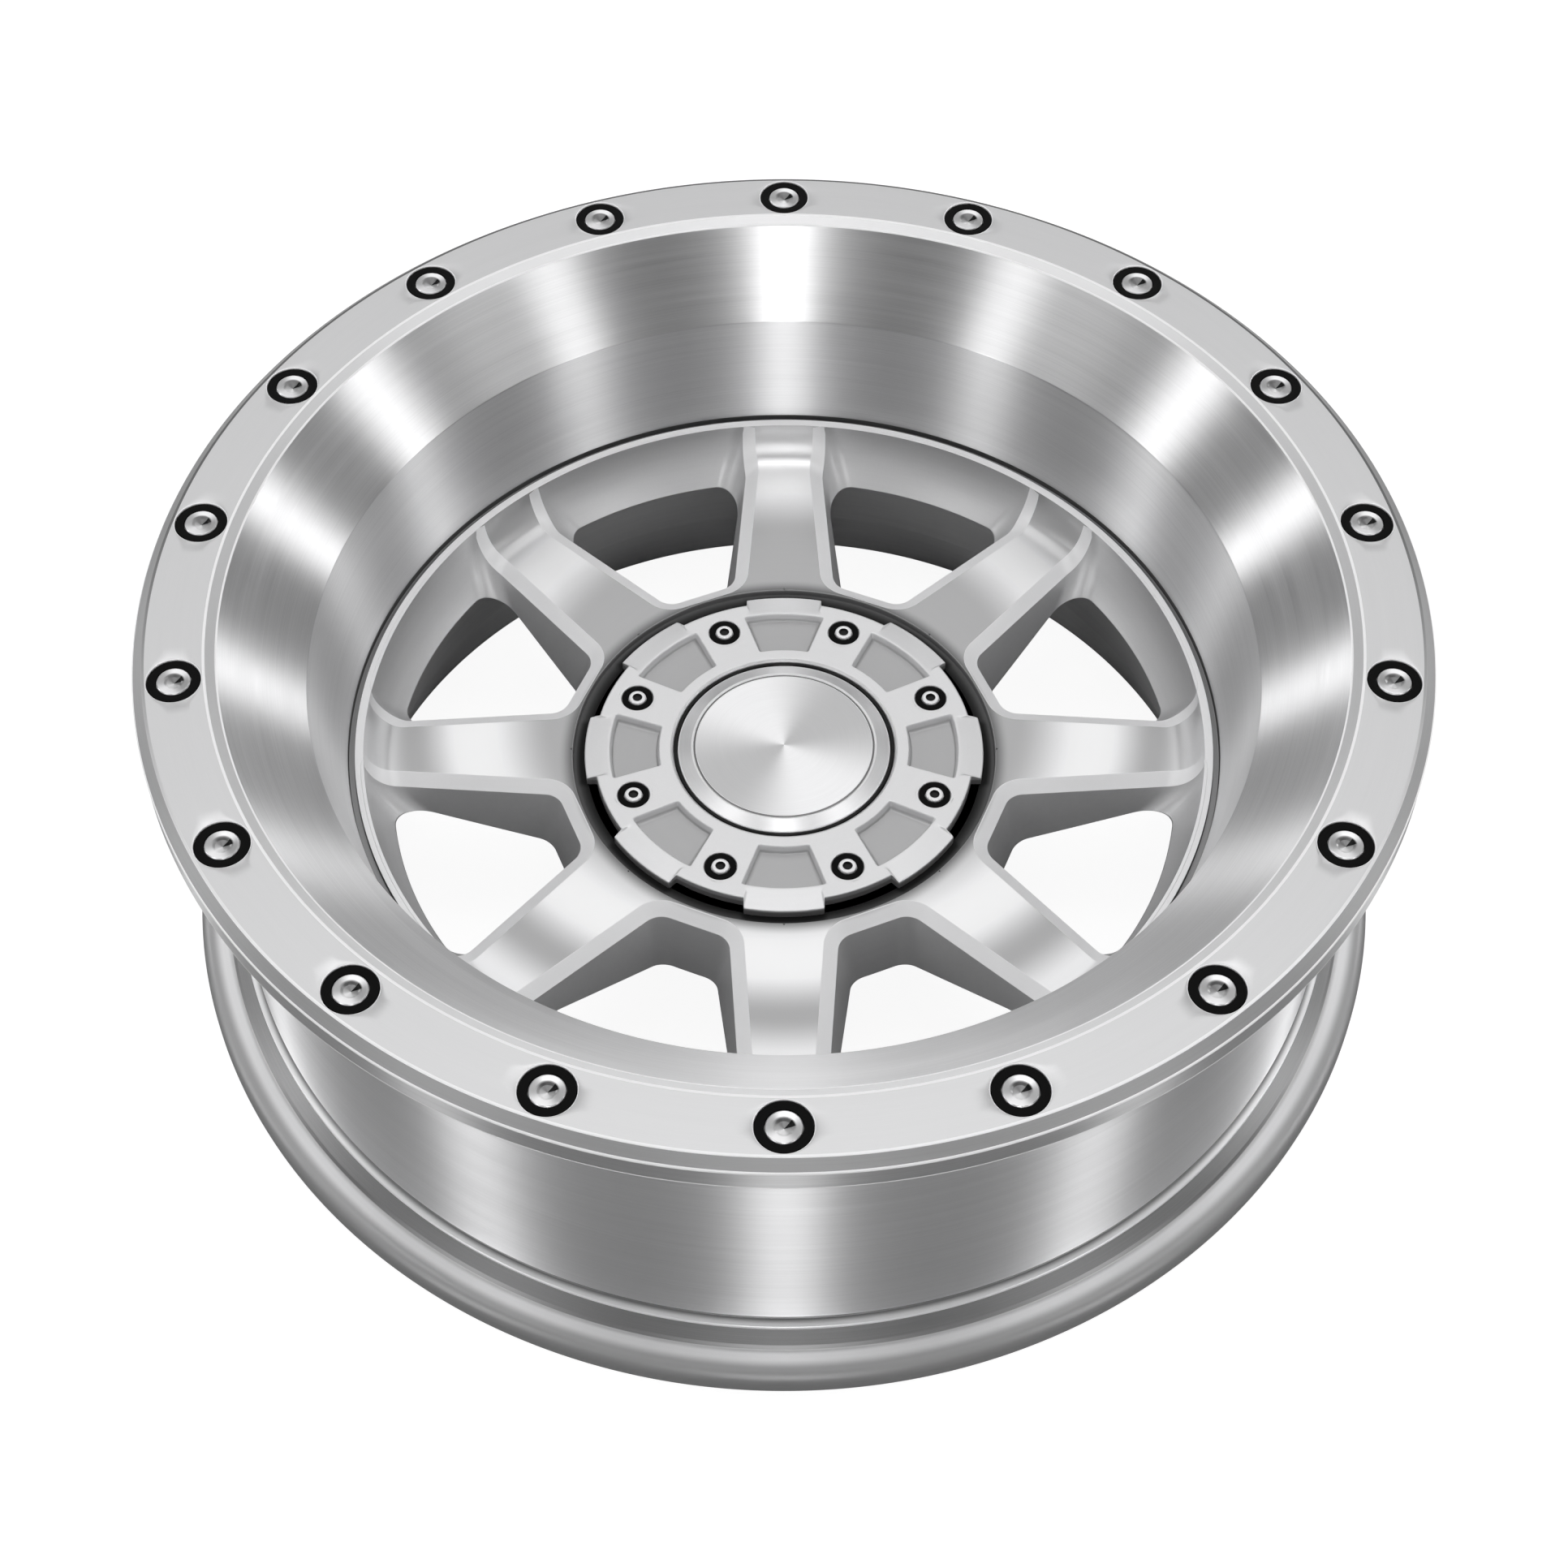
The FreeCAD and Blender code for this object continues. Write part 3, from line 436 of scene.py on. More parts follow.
def metal(name, light, dark, rough, spread, marks, bump, anisotropy=0.0, wander=3.0, metallic=1.0,
          painted_shade=None, painted_bands=None, spun=None):
    """Aluminium or steel: turning marks and grain vary its colour, roughness and surface.

    A metallic share below one stands for the milky clear coat on satin faces. Painted shade names the radius
    or the height, and gives where the painted shade is darkest, where it ends, and the darkest share left.
    Painted bands gives a centre, a first share, and what each soft ring of painted highlight or painted shade
    round the centre adds to it from its near to its far edge. The painted sheen share is the darkest share of
    a painted conical sheen.
    """
    material, tree, shader = new_material(name, in_Metallic=metallic, in_Anisotropic=anisotropy)
    turning = put(tree, "ShaderNodeGroup", node_tree=TURNING_MARKS, in_Wander=wander)
    grain = put(tree, "ShaderNodeGroup", node_tree=FINE_GRAIN)
    lines = math_node(tree, "ADD", math_node(tree, "MULTIPLY", turning.outputs["Fine"], marks),
                      math_node(tree, "MULTIPLY", grain.outputs["Grain"], 1.0 - marks))
    both = math_node(tree, "ADD", math_node(tree, "MULTIPLY", lines, LINE_SHARE),
                     math_node(tree, "MULTIPLY", turning.outputs["Broad"], BROAD_SHARE))
    colour = grey_mix(tree, ramp(tree, both, *TONE_SPAN, 0.0, 1.0), grey(dark), grey(light))
    # Painted shade: the colour darkens towards a radius or a height, where shade falls.
    if painted_shade:
        measure, near, far, share = painted_shade
        painted_shade_share = ramp(tree, turning.outputs[measure], near * MM, far * MM, share, 1.0, smooth=True)
        colour = scaled(tree, colour, painted_shade_share)
    # Painted bands: soft rings of painted highlight and painted shade round a centre.
    if painted_bands:
        (x, y), total, rings = painted_bands
        away = put(tree, "ShaderNodeVectorMath", operation="SUBTRACT")
        away.inputs[1].default_value = (x * MM, y * MM, 0.0)
        tree.links.new(object_place(tree), away.inputs[0])
        distance = painted_sheen_about(tree, away.outputs[0]).outputs["Spread"]
        for near, far, added in rings:
            ring = ramp(tree, distance, near * MM, far * MM, 0.0, added, smooth=True)
            total = math_node(tree, "ADD", total, ring)
        colour = scaled(tree, colour, total)
    # Painted conical sheen.
    if spun:
        tone = painted_sheen_about(tree, object_place(tree)).outputs["Tone"]
        colour = scaled(tree, colour, ramp(tree, tone, 0.0, 1.0, spun, 1.0))
    tree.links.new(colour, shader.inputs["Base Color"])
    tree.links.new(ramp(tree, both, *ROUGH_SPAN, rough - spread, rough + spread), shader.inputs["Roughness"])
    height = put(tree, "ShaderNodeBump", in_Strength=bump, in_Distance=BUMP_DISTANCE)
    tree.links.new(lines, height.inputs["Height"])
    tree.links.new(height.outputs[0], shader.inputs["Normal"])
    if anisotropy:
        shader.inputs["Anisotropic Rotation"].default_value = TURNED_ROTATION
        tangent = put(tree, "ShaderNodeTangent", direction_type="RADIAL", axis="Z")
        tree.links.new(tangent.outputs[0], shader.inputs["Tangent"])
    return material


def black(name, tone, rough, coat):
    """Black plastic or rubber with a faint cloud in its gloss."""
    material, tree, shader = new_material(name, in_Coat_Weight=coat, in_Coat_Roughness=0.08,
                                          in_Specular_IOR_Level=0.08)
    cloud = put(tree, "ShaderNodeGroup", node_tree=FINE_GRAIN).outputs["Cloud"]
    tree.links.new(grey_mix(tree, cloud, (tone * 0.7,) * 3, (tone * 1.4,) * 3), shader.inputs["Base Color"])
    tree.links.new(ramp(tree, cloud, *TONE_SPAN, rough - 0.05, rough + 0.05), shader.inputs["Roughness"])
    return material


def fading(name, dark, light, rough):
    """Metal that goes from dark to light along the rows of its own grid, as in a narrow shaded gap."""
    material, tree, shader = new_material(name, in_Metallic=0.6, in_Roughness=rough)
    split = put(tree, "ShaderNodeSeparateXYZ")
    tree.links.new(own_place(tree), split.inputs[0])
    share = ramp(tree, split.outputs[1], 0.25, 1.0, 0.0, 1.0, smooth=True)
    tree.links.new(grey_mix(tree, share, grey(dark), grey(light)), shader.inputs["Base Color"])
    return material


def dished_bolt(name):
    """Spun, dished bolt head on a map about its own centre, all in painted light: a painted conical sheen,
    painted shade in the dish and a painted dark wedge of reflection.
    """
    material, tree, shader = new_material(name, in_Metallic=0.7, in_Roughness=0.34)
    cone = painted_sheen_about(tree, own_place(tree))
    angle = cone.outputs["Angle"]
    inside = ramp(tree, cone.outputs["Spread"], 0.56, 0.68, 1.0, 0.0, smooth=True)
    painted_wedge = ramp(tree, facing(tree, angle, PAINTED_WEDGE_WAY), 0.90, 0.95, 0.0, 0.995)
    dish = ramp(tree, facing(tree, angle, DISH_SHADE_WAY), -0.3, 0.85, 0.0, 0.78, smooth=True)
    deep = math_node(tree, "MULTIPLY", math_node(tree, "MAXIMUM", painted_wedge, dish), inside)
    sheen = ramp(tree, facing(tree, angle, HEAD_SHEEN_WAY, 2.0), -1.0, 1.0, 0.42, 0.97, smooth=True)
    tone = math_node(tree, "MULTIPLY", sheen, math_node(tree, "SUBTRACT", 1.0, deep))
    tree.links.new(grey_mix(tree, tone, grey(0.0), grey(1.0)), shader.inputs["Base Color"])
    return material


# Each metal: lightest and darkest tone, roughness and its spread, share of turning marks, strength of bump.
barrel_metal = metal("turned_barrel", 0.97, 0.86, 0.38, 0.05, 0.9, 0.05, anisotropy=1.0, wander=2.0)
lip_metal = metal("turned_lip", 0.76, 0.64, 0.33, 0.05, 0.9, 0.05, anisotropy=1.0, wander=2.0)
# The lip's lower cone is a lighter copy of the lip metal: painted light that offsets its darker shading.
lit_low_metal = metal("turned_lip_low", 0.84, 0.73, 0.42, 0.05, 0.9, 0.05, anisotropy=1.0, wander=2.0)
# The rear hump and the rolled flange carry painted highlight lines along their ridges and painted shade
# beside them, in rings about the axis.
hump_metal = metal("rolled_hump", 0.98, 0.95, 0.34, 0.02, 0.6, 0.02, metallic=0.4,
                   painted_bands=((0.0, 0.0), 0.2, [(297.0, 300.4, 0.8)]))
flange_metal = metal("rolled_flange", 0.98, 0.95, 0.40, 0.03, 0.7, 0.03, metallic=0.3, painted_bands=(
    (0.0, 0.0), 0.24, [(307.0, 311.5, 0.76), (313.5, 319.0, -0.54), (319.0, 324.5, -0.16)]))
channel_metal = metal("shaded_channel", 0.30, 0.24, 0.40, 0.04, 0.7, 0.04)
# The ring's chamfer is a darker copy of the aluminium: painted shade.
shaded_side_metal = metal("ring_side_painted_shade", 0.40, 0.35, 0.50, 0.04, 0.8, 0.04, metallic=0.8)
# Near-white lines on rounded edges, the land and the bolt recesses: painted highlights.
highlight_metal = metal("painted_highlight_line", 0.98, 0.95, 0.45, 0.02, 0.4, 0.01, metallic=0.1)
# The ring's outer edge is a painted highlight line that fades to painted shade towards the far side, by
# distance from a point in front of the wheel.
outer_painted_highlight = metal("outer_painted_highlight", 0.98, 0.95, 0.45, 0.02, 0.4, 0.01, metallic=0.3,
                   painted_bands=((0.0, -600.0), 1.0, [(420.0, 760.0, -0.86)]))
ring_metal = metal("satin_ring", 0.70, 0.66, 0.40, 0.03, 0.5, 0.04, wander=4.0)
# Painted shade darkens the spoke face next to the cap seat; painted bands of highlight and shade ring a point
# near the axis.
spoke_metal = metal("satin_spoke", 0.97, 0.93, 0.34, 0.03, 0.15, 0.03, metallic=0.55,
                    painted_shade=("Radius", 112.0, 121.0, 0.3),
                    painted_bands=((0.0, 32.0), 0.52,
                           [(126.0, 166.0, 0.63), (172.0, 200.0, -0.65), (202.0, 226.0, 0.5)]))
# Painted shade darkens the window bevels next to the cap seat.
bevel_metal = metal("cut_bevel", 0.97, 0.94, 0.42, 0.02, 0.1, 0.01, metallic=0.2,
                    painted_shade=("Radius", 111.0, 117.0, 0.4))
wall_metal = metal("milled_window", 0.74, 0.68, 0.42, 0.04, 0.3, 0.03, metallic=0.55)
rear_metal = metal("turned_rear", 0.84, 0.74, 0.45, 0.05, 0.8, 0.06, anisotropy=0.6)
seat_dark = metal("shaded_seat", 0.05, 0.03, 0.6, 0.05, 0.4, 0.05)
# Painted shade by height: the cap's pockets and the sides of its rim are darker.
cap_metal = metal("blasted_cap", 0.84, 0.80, 0.46, 0.03, 0.0, 0.06, metallic=0.75,
                  painted_shade=("Height", 42.7, 44.6, 0.60))
# The centre disc carries a painted conical sheen.
disc_metal = metal("spun_disc", 0.96, 0.90, 0.34, 0.03, 1.0, 0.03, anisotropy=0.5, wander=1.0, spun=0.58)
rim_metal = metal("disc_rim", 0.84, 0.78, 0.36, 0.03, 0.9, 0.03, anisotropy=0.6)
bolt_metal = dished_bolt("spun_bolt_painted_light")
screw_metal = metal("bright_screw", 0.93, 0.90, 0.36, 0.03, 0.1, 0.01, metallic=0.5)
seat_fade = fading("shaded_gap", 0.002, 0.34, 0.6)
collar_black = black("gloss_collar", 0.001, 0.5, 0.0)
seal_black = black("black_seal", 0.006, 0.4, 0.2)


# Spokes, windows and the hub they run into

RIM_COLS, TURNED_COLS = 720, 360
SPOKES, LIP_BOLTS = 8, 18
HALF_STEP = math.pi / SPOKES
FIRST_WINDOW, FIRST_BOLT = 22.5, 10.0
SPOKE_FACE, SCOOP_START, LAND_INNER, LAND_OUTER, LAND_LEVEL = 44.0, 206.0, 221.8, 226.4, 64.8
WINDOW_TOP, WINDOW_MIDDLE, WINDOW_LOW, WINDOW_LEVEL = 64.8, 44.0, -2.0, 40.0
WINDOW_INNER, WINDOW_GAP, WINDOW_OUTER = 121.5, 36.1, 223.4
OUTER_SWELL, OUTER_CURVE = 0.1426, 0.014205
INNER_CORNER, OUTER_CORNER, CORNER_GROWTH = 11.0, 11.5, 0.03
WINDOW_DRAFT = math.tan(math.radians(13.0))
WINDOW_SLANT = math.radians(26.4)
BEVEL_WIDTH, BEVEL_DEPTH = 6.5, 4.0
SEAT_RADIUS, SEAT_LEVEL, SEAT_LIP = 113.0, 40.0, 0.6
PAD_RADIUS, PAD_LEVEL, WALL_RADIUS, WALL_LEVEL = 108.0, 2.5, 214.0, 30.0
FACE_START, FACE_SHOULDER, FACE_CLEAR = 90.0, 118.0, 150.0
BACK_SHOULDER, BACK_CLEAR = 142.0, 196.0
EDGE_STATIONS = 220
CAP_FACE, CAP_FOOT, CAP_OPENING, CAP_LEDGE = 47.0, 40.0, 59.2, 42.0
LOBE_RADIUS, WAIST_RADIUS, LOBE_HALF, LOBE_ARC = 106.7, 101.5, math.radians(11.5), 104.0
LOBE_FALL, FALL_START, FALL_REACH, RIM_START = 2.0, 94.4, 13.3, 100.0
POCKET_IN, POCKET_OUT, POCKET_GAP, POCKET_SLANT = 66.6, 93.4, 8.8, math.radians(19.2)
POCKET_DEPTH, POCKET_WALL = 4.6, 1.9
SCREW_CIRCLE, SCREW_FLOOR = 86.0, 45.4


def smooth_step(value, low, high):
    """Rise from nought at low to one at high, level at both ends: 3 t squared less 2 t cubed."""
    t = np.clip((value - low) / (high - low), 0, 1)
    return t * t * (3 - 2 * t)


def scooped(radius):
    """Height of the spoke face: flat, then a quarter ellipse that climbs to the land, then the land."""
    along = np.clip((radius - SCOOP_START) / (LAND_INNER - SCOOP_START), 0, 1)
    rise = LAND_LEVEL - SPOKE_FACE
    return np.where(radius >= LAND_INNER, LAND_LEVEL, SPOKE_FACE + rise * (1 - np.sqrt(1 - along ** 2)))


def web_back(radius):
    """Height of the back of the spokes: a cone from the hub pad up to the inner wall."""
    return PAD_LEVEL + (radius - PAD_RADIUS) / (WALL_RADIUS - PAD_RADIUS) * (WALL_LEVEL - PAD_LEVEL)


def window_half(height, count=160):
    """Half outline of a window at a height, from the middle of its inner edge to the middle of its outer arc.

    The parts are half the straight inner edge, a corner arc, a straight side, a corner arc and half the
    outer arc. Each side leans, so the inner edge and the side move out with depth. The outer arc's radius is
    a parabola in depth: the wall stands nearly upright below the land and then curves in.
    """
    lean = (WINDOW_LEVEL - height) * WINDOW_DRAFT
    inner, gap = WINDOW_INNER + lean, WINDOW_GAP + lean
    below = WINDOW_TOP - height
    outer = WINDOW_OUTER + OUTER_SWELL * below - OUTER_CURVE * below ** 2
    small, large = INNER_CORNER, OUTER_CORNER + below * CORNER_GROWTH
    tilt = WINDOW_SLANT
    along = np.array([math.cos(tilt), math.sin(tilt)])
    inward = np.array([math.sin(tilt), -math.cos(tilt)])
    low = inward * (gap + small) + along * ((inner + small - (gap + small) * inward[0]) / along[0])
    high = inward * (gap + large) + along * math.sqrt((outer - large) ** 2 - (gap + large) ** 2)
    u = np.linspace(0, 1, count)
    side_way = math.pi / 2 + tilt
    high_way = math.atan2(high[1], high[0])
    low_turn = math.pi + (side_way - math.pi) * u
    high_turn = side_way + (high_way - side_way) * u
    outer_turn = high_way * (1 - u)
    first = np.stack([np.full(count, inner), low[1] * u], -1)
    second = low + small * np.stack([np.cos(low_turn), np.sin(low_turn)], -1)
    fourth = high + large * np.stack([np.cos(high_turn), np.sin(high_turn)], -1)
    third = second[-1] + (fourth[0] - second[-1]) * u[:, None]
    fifth = outer * np.stack([np.cos(outer_turn), np.sin(outer_turn)], -1)
    return np.concatenate([first, second[1:], third[1:], fourth[1:], fifth[1:]])


def window_wall(outlines, height):
    """Points of the window wall at given heights: a parabola in height through three outlines."""
    top, middle, low = outlines
    levels = (WINDOW_TOP, WINDOW_MIDDLE, WINDOW_LOW)
    from_top, from_middle, from_low = (height[..., None] - level for level in levels)
    first = from_middle * from_low / ((WINDOW_TOP - WINDOW_MIDDLE) * (WINDOW_TOP - WINDOW_LOW))
    second = from_top * from_low / ((WINDOW_MIDDLE - WINDOW_TOP) * (WINDOW_MIDDLE - WINDOW_LOW))
    third = from_top * from_middle / ((WINDOW_LOW - WINDOW_TOP) * (WINDOW_LOW - WINDOW_MIDDLE))
    return first * top + second * middle + third * low


def meeting_height(outlines, surface, floor, ceiling):
    """Height at which each line of the wall meets a surface given as height over radius, by halving."""
    under, over = np.full(len(outlines[0]), floor), np.full(len(outlines[0]), ceiling)
    for _ in range(45):
        middle = (under + over) / 2
        above = middle - surface(np.linalg.norm(window_wall(outlines, middle), axis=1)) > 0
        over = np.where(above, middle, over)
        under = np.where(above, under, middle)
    return (under + over) / 2


def lifted(flat, height):
    """Flat points with a height added to each."""
    return np.concatenate([flat, np.broadcast_to(height, flat.shape[:-1])[..., None]], -1)


def evenly(points, count):
    """Share along a line of points at which count stations lie evenly by length."""
    length = np.concatenate([[0], np.cumsum(np.linalg.norm(np.diff(points, axis=0), axis=1))])
    return np.interp(np.linspace(0, length[-1], count), length, np.arange(len(points)))


def at_shares(points, shares):
    """Points read off a line of points at shares of its steps, straight from step to step."""
    steps = np.arange(len(points))
    return np.stack([np.interp(shares, steps, points[:, k]) for k in range(points.shape[1])], -1)


# Length along the spoke face's profile, so that the bevel keeps its width where the face climbs the scoop.
profile_turn = np.linspace(0, math.pi / 2, 400)
scoop_radius = SCOOP_START + (LAND_INNER - SCOOP_START) * np.sin(profile_turn)
scoop_height = LAND_LEVEL - (LAND_LEVEL - SPOKE_FACE) * np.cos(profile_turn)
face_radius = np.concatenate([[FACE_START], scoop_radius, [LAND_OUTER]])
face_height = np.concatenate([[SPOKE_FACE], scoop_height, [LAND_LEVEL]])
face_steps = np.hypot(np.diff(face_radius), np.diff(face_height))
face_length = FACE_START + np.concatenate([[0], np.cumsum(face_steps)])
LAND_LENGTH = face_length[-2]


def on_face(length, angle):
    """Point of the spoke face from its length along the profile and its angle."""
    radius = np.interp(length, face_length, face_radius)
    return polar(radius, angle, np.interp(length, face_length, face_height))


def spoke_sheets():
    """Half a window and the half spoke beside it: face, bevel, wall and back, each as a grid.

    The edge is where the window wall meets the scooped face. On the unrolled face the bevel's upper line is
    the edge moved sideways by the bevel's width, less where the land leaves no room. The bevel's lower line
    is the wall lowered by the bevel's depth. The face runs from the upper line to the seat and the spoke's
    middle.
    """
    outlines = [window_half(height) for height in (WINDOW_TOP, WINDOW_MIDDLE, WINDOW_LOW)]
    edge_height = meeting_height(outlines, scooped, 30.0, LAND_LEVEL)
    edge = lifted(window_wall(outlines, edge_height), edge_height)
    shares = evenly(edge, EDGE_STATIONS)
    outlines = [at_shares(outline, shares) for outline in outlines]
    edge = at_shares(edge, shares)
    radius = np.linalg.norm(edge[:, :2], axis=1)
    length = np.interp(radius, face_radius, face_length)
    angle = np.arctan2(edge[:, 1], edge[:, 0])
    flat = length[:, None] * np.stack([np.cos(angle), np.sin(angle)], -1)
    way = np.gradient(flat, axis=0)
    way /= np.linalg.norm(way, axis=1)[:, None]
    across = np.stack([-way[:, 1], way[:, 0]], -1)
    far = np.linalg.norm(flat + BEVEL_WIDTH * across, axis=1)
    room = np.clip((LAND_LENGTH - length) / np.maximum(far - length, 1e-6), 0, 1)
    width = BEVEL_WIDTH * np.where(far > LAND_LENGTH, room, 1.0)
    upper = flat + width[:, None] * across
    upper_length = np.minimum(np.linalg.norm(upper, axis=1), LAND_LENGTH)
    upper_angle = np.arctan2(upper[:, 1], upper[:, 0])
    upper_line = on_face(upper_length, upper_angle)
    lower_height = edge[:, 2] - BEVEL_DEPTH * width / BEVEL_WIDTH
    lower_line = lifted(window_wall(outlines, lower_height), lower_height)
    v = np.array([0, 0.03, 0.08, 0.5, 0.84, 0.97, 1.0])[:, None, None]
    bevel = upper_line + (lower_line - upper_line) * v
    foot_height = meeting_height(outlines, web_back, -1.0, 43.0)
    v = np.array([0, 0.014, 0.06, 0.25, 0.5, 0.75, 0.94, 0.985, 1.0])[:, None]
    wall_height = lower_height + (foot_height - lower_height) * v
    wall = lifted(window_wall(outlines, wall_height), wall_height)
    # The face has stations up to where the bevel's upper line reaches the land.
    last = int(np.argmax(upper_length >= LAND_LENGTH - 1e-6)) + 1
    up_length, up_angle = upper_length[:last], upper_angle[:last]
    seat = SEAT_RADIUS + SEAT_LIP
    track = np.concatenate([[0], np.cumsum(np.linalg.norm(np.diff(upper[:last], axis=0), axis=1))])
    shoulder = int(np.argmax(up_length > FACE_SHOULDER))
    clear = int(np.argmax(up_length > FACE_CLEAR))
    turn_length = seat * HALF_STEP
    spine = np.interp(track, [0, track[shoulder], track[clear]],
                      [0, seat * up_angle[shoulder], turn_length + up_length[clear] - seat])
    spine_length = np.where(np.arange(last) < clear, seat + np.maximum(spine - turn_length, 0), up_length)
    spine_angle = np.where(np.arange(last) < clear, np.minimum(spine / seat, HALF_STEP), HALF_STEP)
    v = np.array([0, 0.02, 0.06, 0.2, 0.45, 0.72, 1.0])[:, None]
    face = on_face(up_length + (spine_length - up_length) * v, up_angle + (spine_angle - up_angle) * v)
    # The back runs from the foot of the wall to the pad, the spoke's middle and the ring at the inner wall.
    foot = wall[-1]
    foot_radius, foot_angle = np.linalg.norm(foot[:, :2], axis=1), np.arctan2(foot[:, 1], foot[:, 0])
    first = int(np.argmax(foot_radius > BACK_SHOULDER))
    second = int(np.argmax(foot_radius > BACK_CLEAR))
    pad_arc, reach = PAD_RADIUS * HALF_STEP, WALL_RADIUS - PAD_RADIUS
    marks = [0, pad_arc + foot_radius[first] - PAD_RADIUS, pad_arc + foot_radius[second] - PAD_RADIUS,
             pad_arc + reach + WALL_RADIUS * HALF_STEP]
    spine = np.interp(np.arange(len(foot)), [0, first, second, len(foot) - 1], marks)
    back_radius = PAD_RADIUS + np.clip(spine - pad_arc, 0, reach)
    beyond = np.maximum(spine - pad_arc - reach, 0) / WALL_RADIUS
    back_angle = np.minimum(spine / PAD_RADIUS, HALF_STEP) - beyond
    v = np.array([0, 0.02, 0.07, 0.25, 0.5, 0.75, 1.0])[:, None]
    radius = foot_radius + (back_radius - foot_radius) * v
    back = polar(radius, foot_angle + (back_angle - foot_angle) * v, web_back(radius))
    return {"face": face, "bevel": bevel, "wall": wall, "back": back, "top": outlines[0]}


def make_spokes():
    """Eight windows from sixteen half sheets: each half is mirrored across its window and turned in place.

    Hands back the window's outline at the land.
    """
    sheets = spoke_sheets()
    bevel = sheets["bevel"]
    shell = Shell()
    for half, finish in (
            (sheets["face"], spoke_metal), (bevel[2:5], bevel_metal), (sheets["wall"], wall_metal),
            (sheets["back"], rear_metal), (bevel[:3], highlight_metal), (bevel[4:], highlight_metal)):
        turned = finish is spoke_metal
        shell.add(turned_copies(half, SPOKES, FIRST_WINDOW), finish, flip=turned)
        shell.add(turned_copies(half * MIRROR, SPOKES, FIRST_WINDOW), finish, flip=not turned)
    shell.make("wheel_spokes", [spoke_metal, bevel_metal, wall_metal, rear_metal, highlight_metal],
               ["forged_wheel"])
    return sheets["top"]


window_top = make_spokes()


def cap_outline(angle, spread):
    """Radius of the cap's rim: lobes over the pockets and waists between them, with smooth steps."""
    turn = np.abs((angle + HALF_STEP) % (2 * HALF_STEP) - HALF_STEP)
    lobe = 1 - smooth_step((turn - LOBE_HALF) * LOBE_ARC, -spread, spread)
    return WAIST_RADIUS + (LOBE_RADIUS - WAIST_RADIUS) * lobe


# Hub: the shaded seat round the cap, the bore, the pad and the lug holes behind it.
LUG_CIRCLE, LUG_WELL, LUG_MOUTH, LUG_HOLE = 82.55, 16.9, 8.5, 7.9
SEAT_INNER, BORE_RADIUS, BORE_TOP, BORE_FOOT, PAD_FLAT = 100.2, 58.35, 58.9, 59.0, 103.2
angle = even_angles(RIM_COLS)
shell = Shell()
edge = cap_outline(angle, 2.0) - 0.8
share = np.array([0, 0.08, 0.2, 0.35, 0.5, 0.65, 0.8, 0.9])[:, None]
wall = np.array([(-0.5, 0.05), (-0.1, 0.35), (0.0, 0.9), (0.0, 3.2), (0.1, 3.75), (0.35, 3.95),
                 (SEAT_LIP, 4.0)])
floor_radius = edge + (SEAT_RADIUS - 0.9 - edge) * share
radius = np.concatenate([floor_radius, wall[:, :1] + np.full(RIM_COLS, SEAT_RADIUS)])
height = SEAT_LEVEL + np.concatenate([np.zeros((len(share), 1)), wall[:, 1:]])
shell.add(polar(radius, angle, height), seat_fade, wrap=True)
shell.add(polar(np.stack([np.full(RIM_COLS, SEAT_INNER), edge]), angle, SEAT_LEVEL), seat_dark, wrap=True)
around = sector_angles(BORE_TOP, SEAT_INNER, SPOKES, LUG_CIRCLE)
flat = holed_sector(BORE_TOP, SEAT_INNER, SPOKES, LUG_CIRCLE, LUG_WELL, SEAT_LEVEL, around)
shell.add(turned_copies(flat, SPOKES), seat_dark, wrap=True)
well = rounded([(LUG_HOLE, 0.6, 0), (LUG_HOLE, 16.2, 0.3), (13.0, 25.0, 0.3), (16.5, 25.0, 0.5),
                (16.5, 39.6, 0.2), (LUG_WELL, SEAT_LEVEL, 0)], support=0.2)
add_small(shell, well, LUG_CIRCLE, SPOKES, 0.0, rear_metal, around)
bore = rounded([(BORE_FOOT, 0.0, 0), (BORE_RADIUS, 0.65, 0.1), (BORE_RADIUS, 39.4, 0.1),
                (BORE_TOP, SEAT_LEVEL, 0)], support=0.3)
shell.add(revolved(bore, TURNED_COLS), rear_metal, wrap=True)
around = sector_angles(BORE_FOOT, PAD_FLAT, SPOKES, LUG_CIRCLE)
flat = holed_sector(BORE_FOOT, PAD_FLAT, SPOKES, LUG_CIRCLE, LUG_MOUTH, 0.0, around)
shell.add(turned_copies(flat, SPOKES), rear_metal, wrap=True, flip=True)
mouth = np.array([(LUG_MOUTH, 0.0), (8.1, 0.15), (LUG_HOLE, 0.6)])
add_small(shell, mouth, LUG_CIRCLE, SPOKES, 0.0, rear_metal, around)
pad_edge = rounded([(PAD_RADIUS, PAD_LEVEL, 0), (104.0, 0.0, 0.8), (PAD_FLAT, 0.0, 0)], support=0.2)
shell.add(revolved(pad_edge, TURNED_COLS), rear_metal, wrap=True)
shell.make("wheel_hub", [seat_dark, rear_metal, seat_fade], ["forged_wheel"])


# Lip, outer ring, barrel and rear flange

RIM_RADIUS, RING_LEVEL, RING_INNER, RING_FLAT, RING_FOOT = 324.5, 165.0, 289.4, 317.6, 147.0
BOLT_CIRCLE, BOLT_CUP, BOLT_FLOOR, BOLT_HEAD = 303.5, 13.9, 162.0, 8.45
GROOVE_LEVEL, GROOVE_OUTER, BARREL_TOP, BARREL_SEAT = 61.5, 230.0, 311.2, 307.2
FLANGE_TOP, FLANGE_FOOT, HOLLOW_RADIUS = -42.5, -60.0, 290.6
OUTLINE_START = 212.0


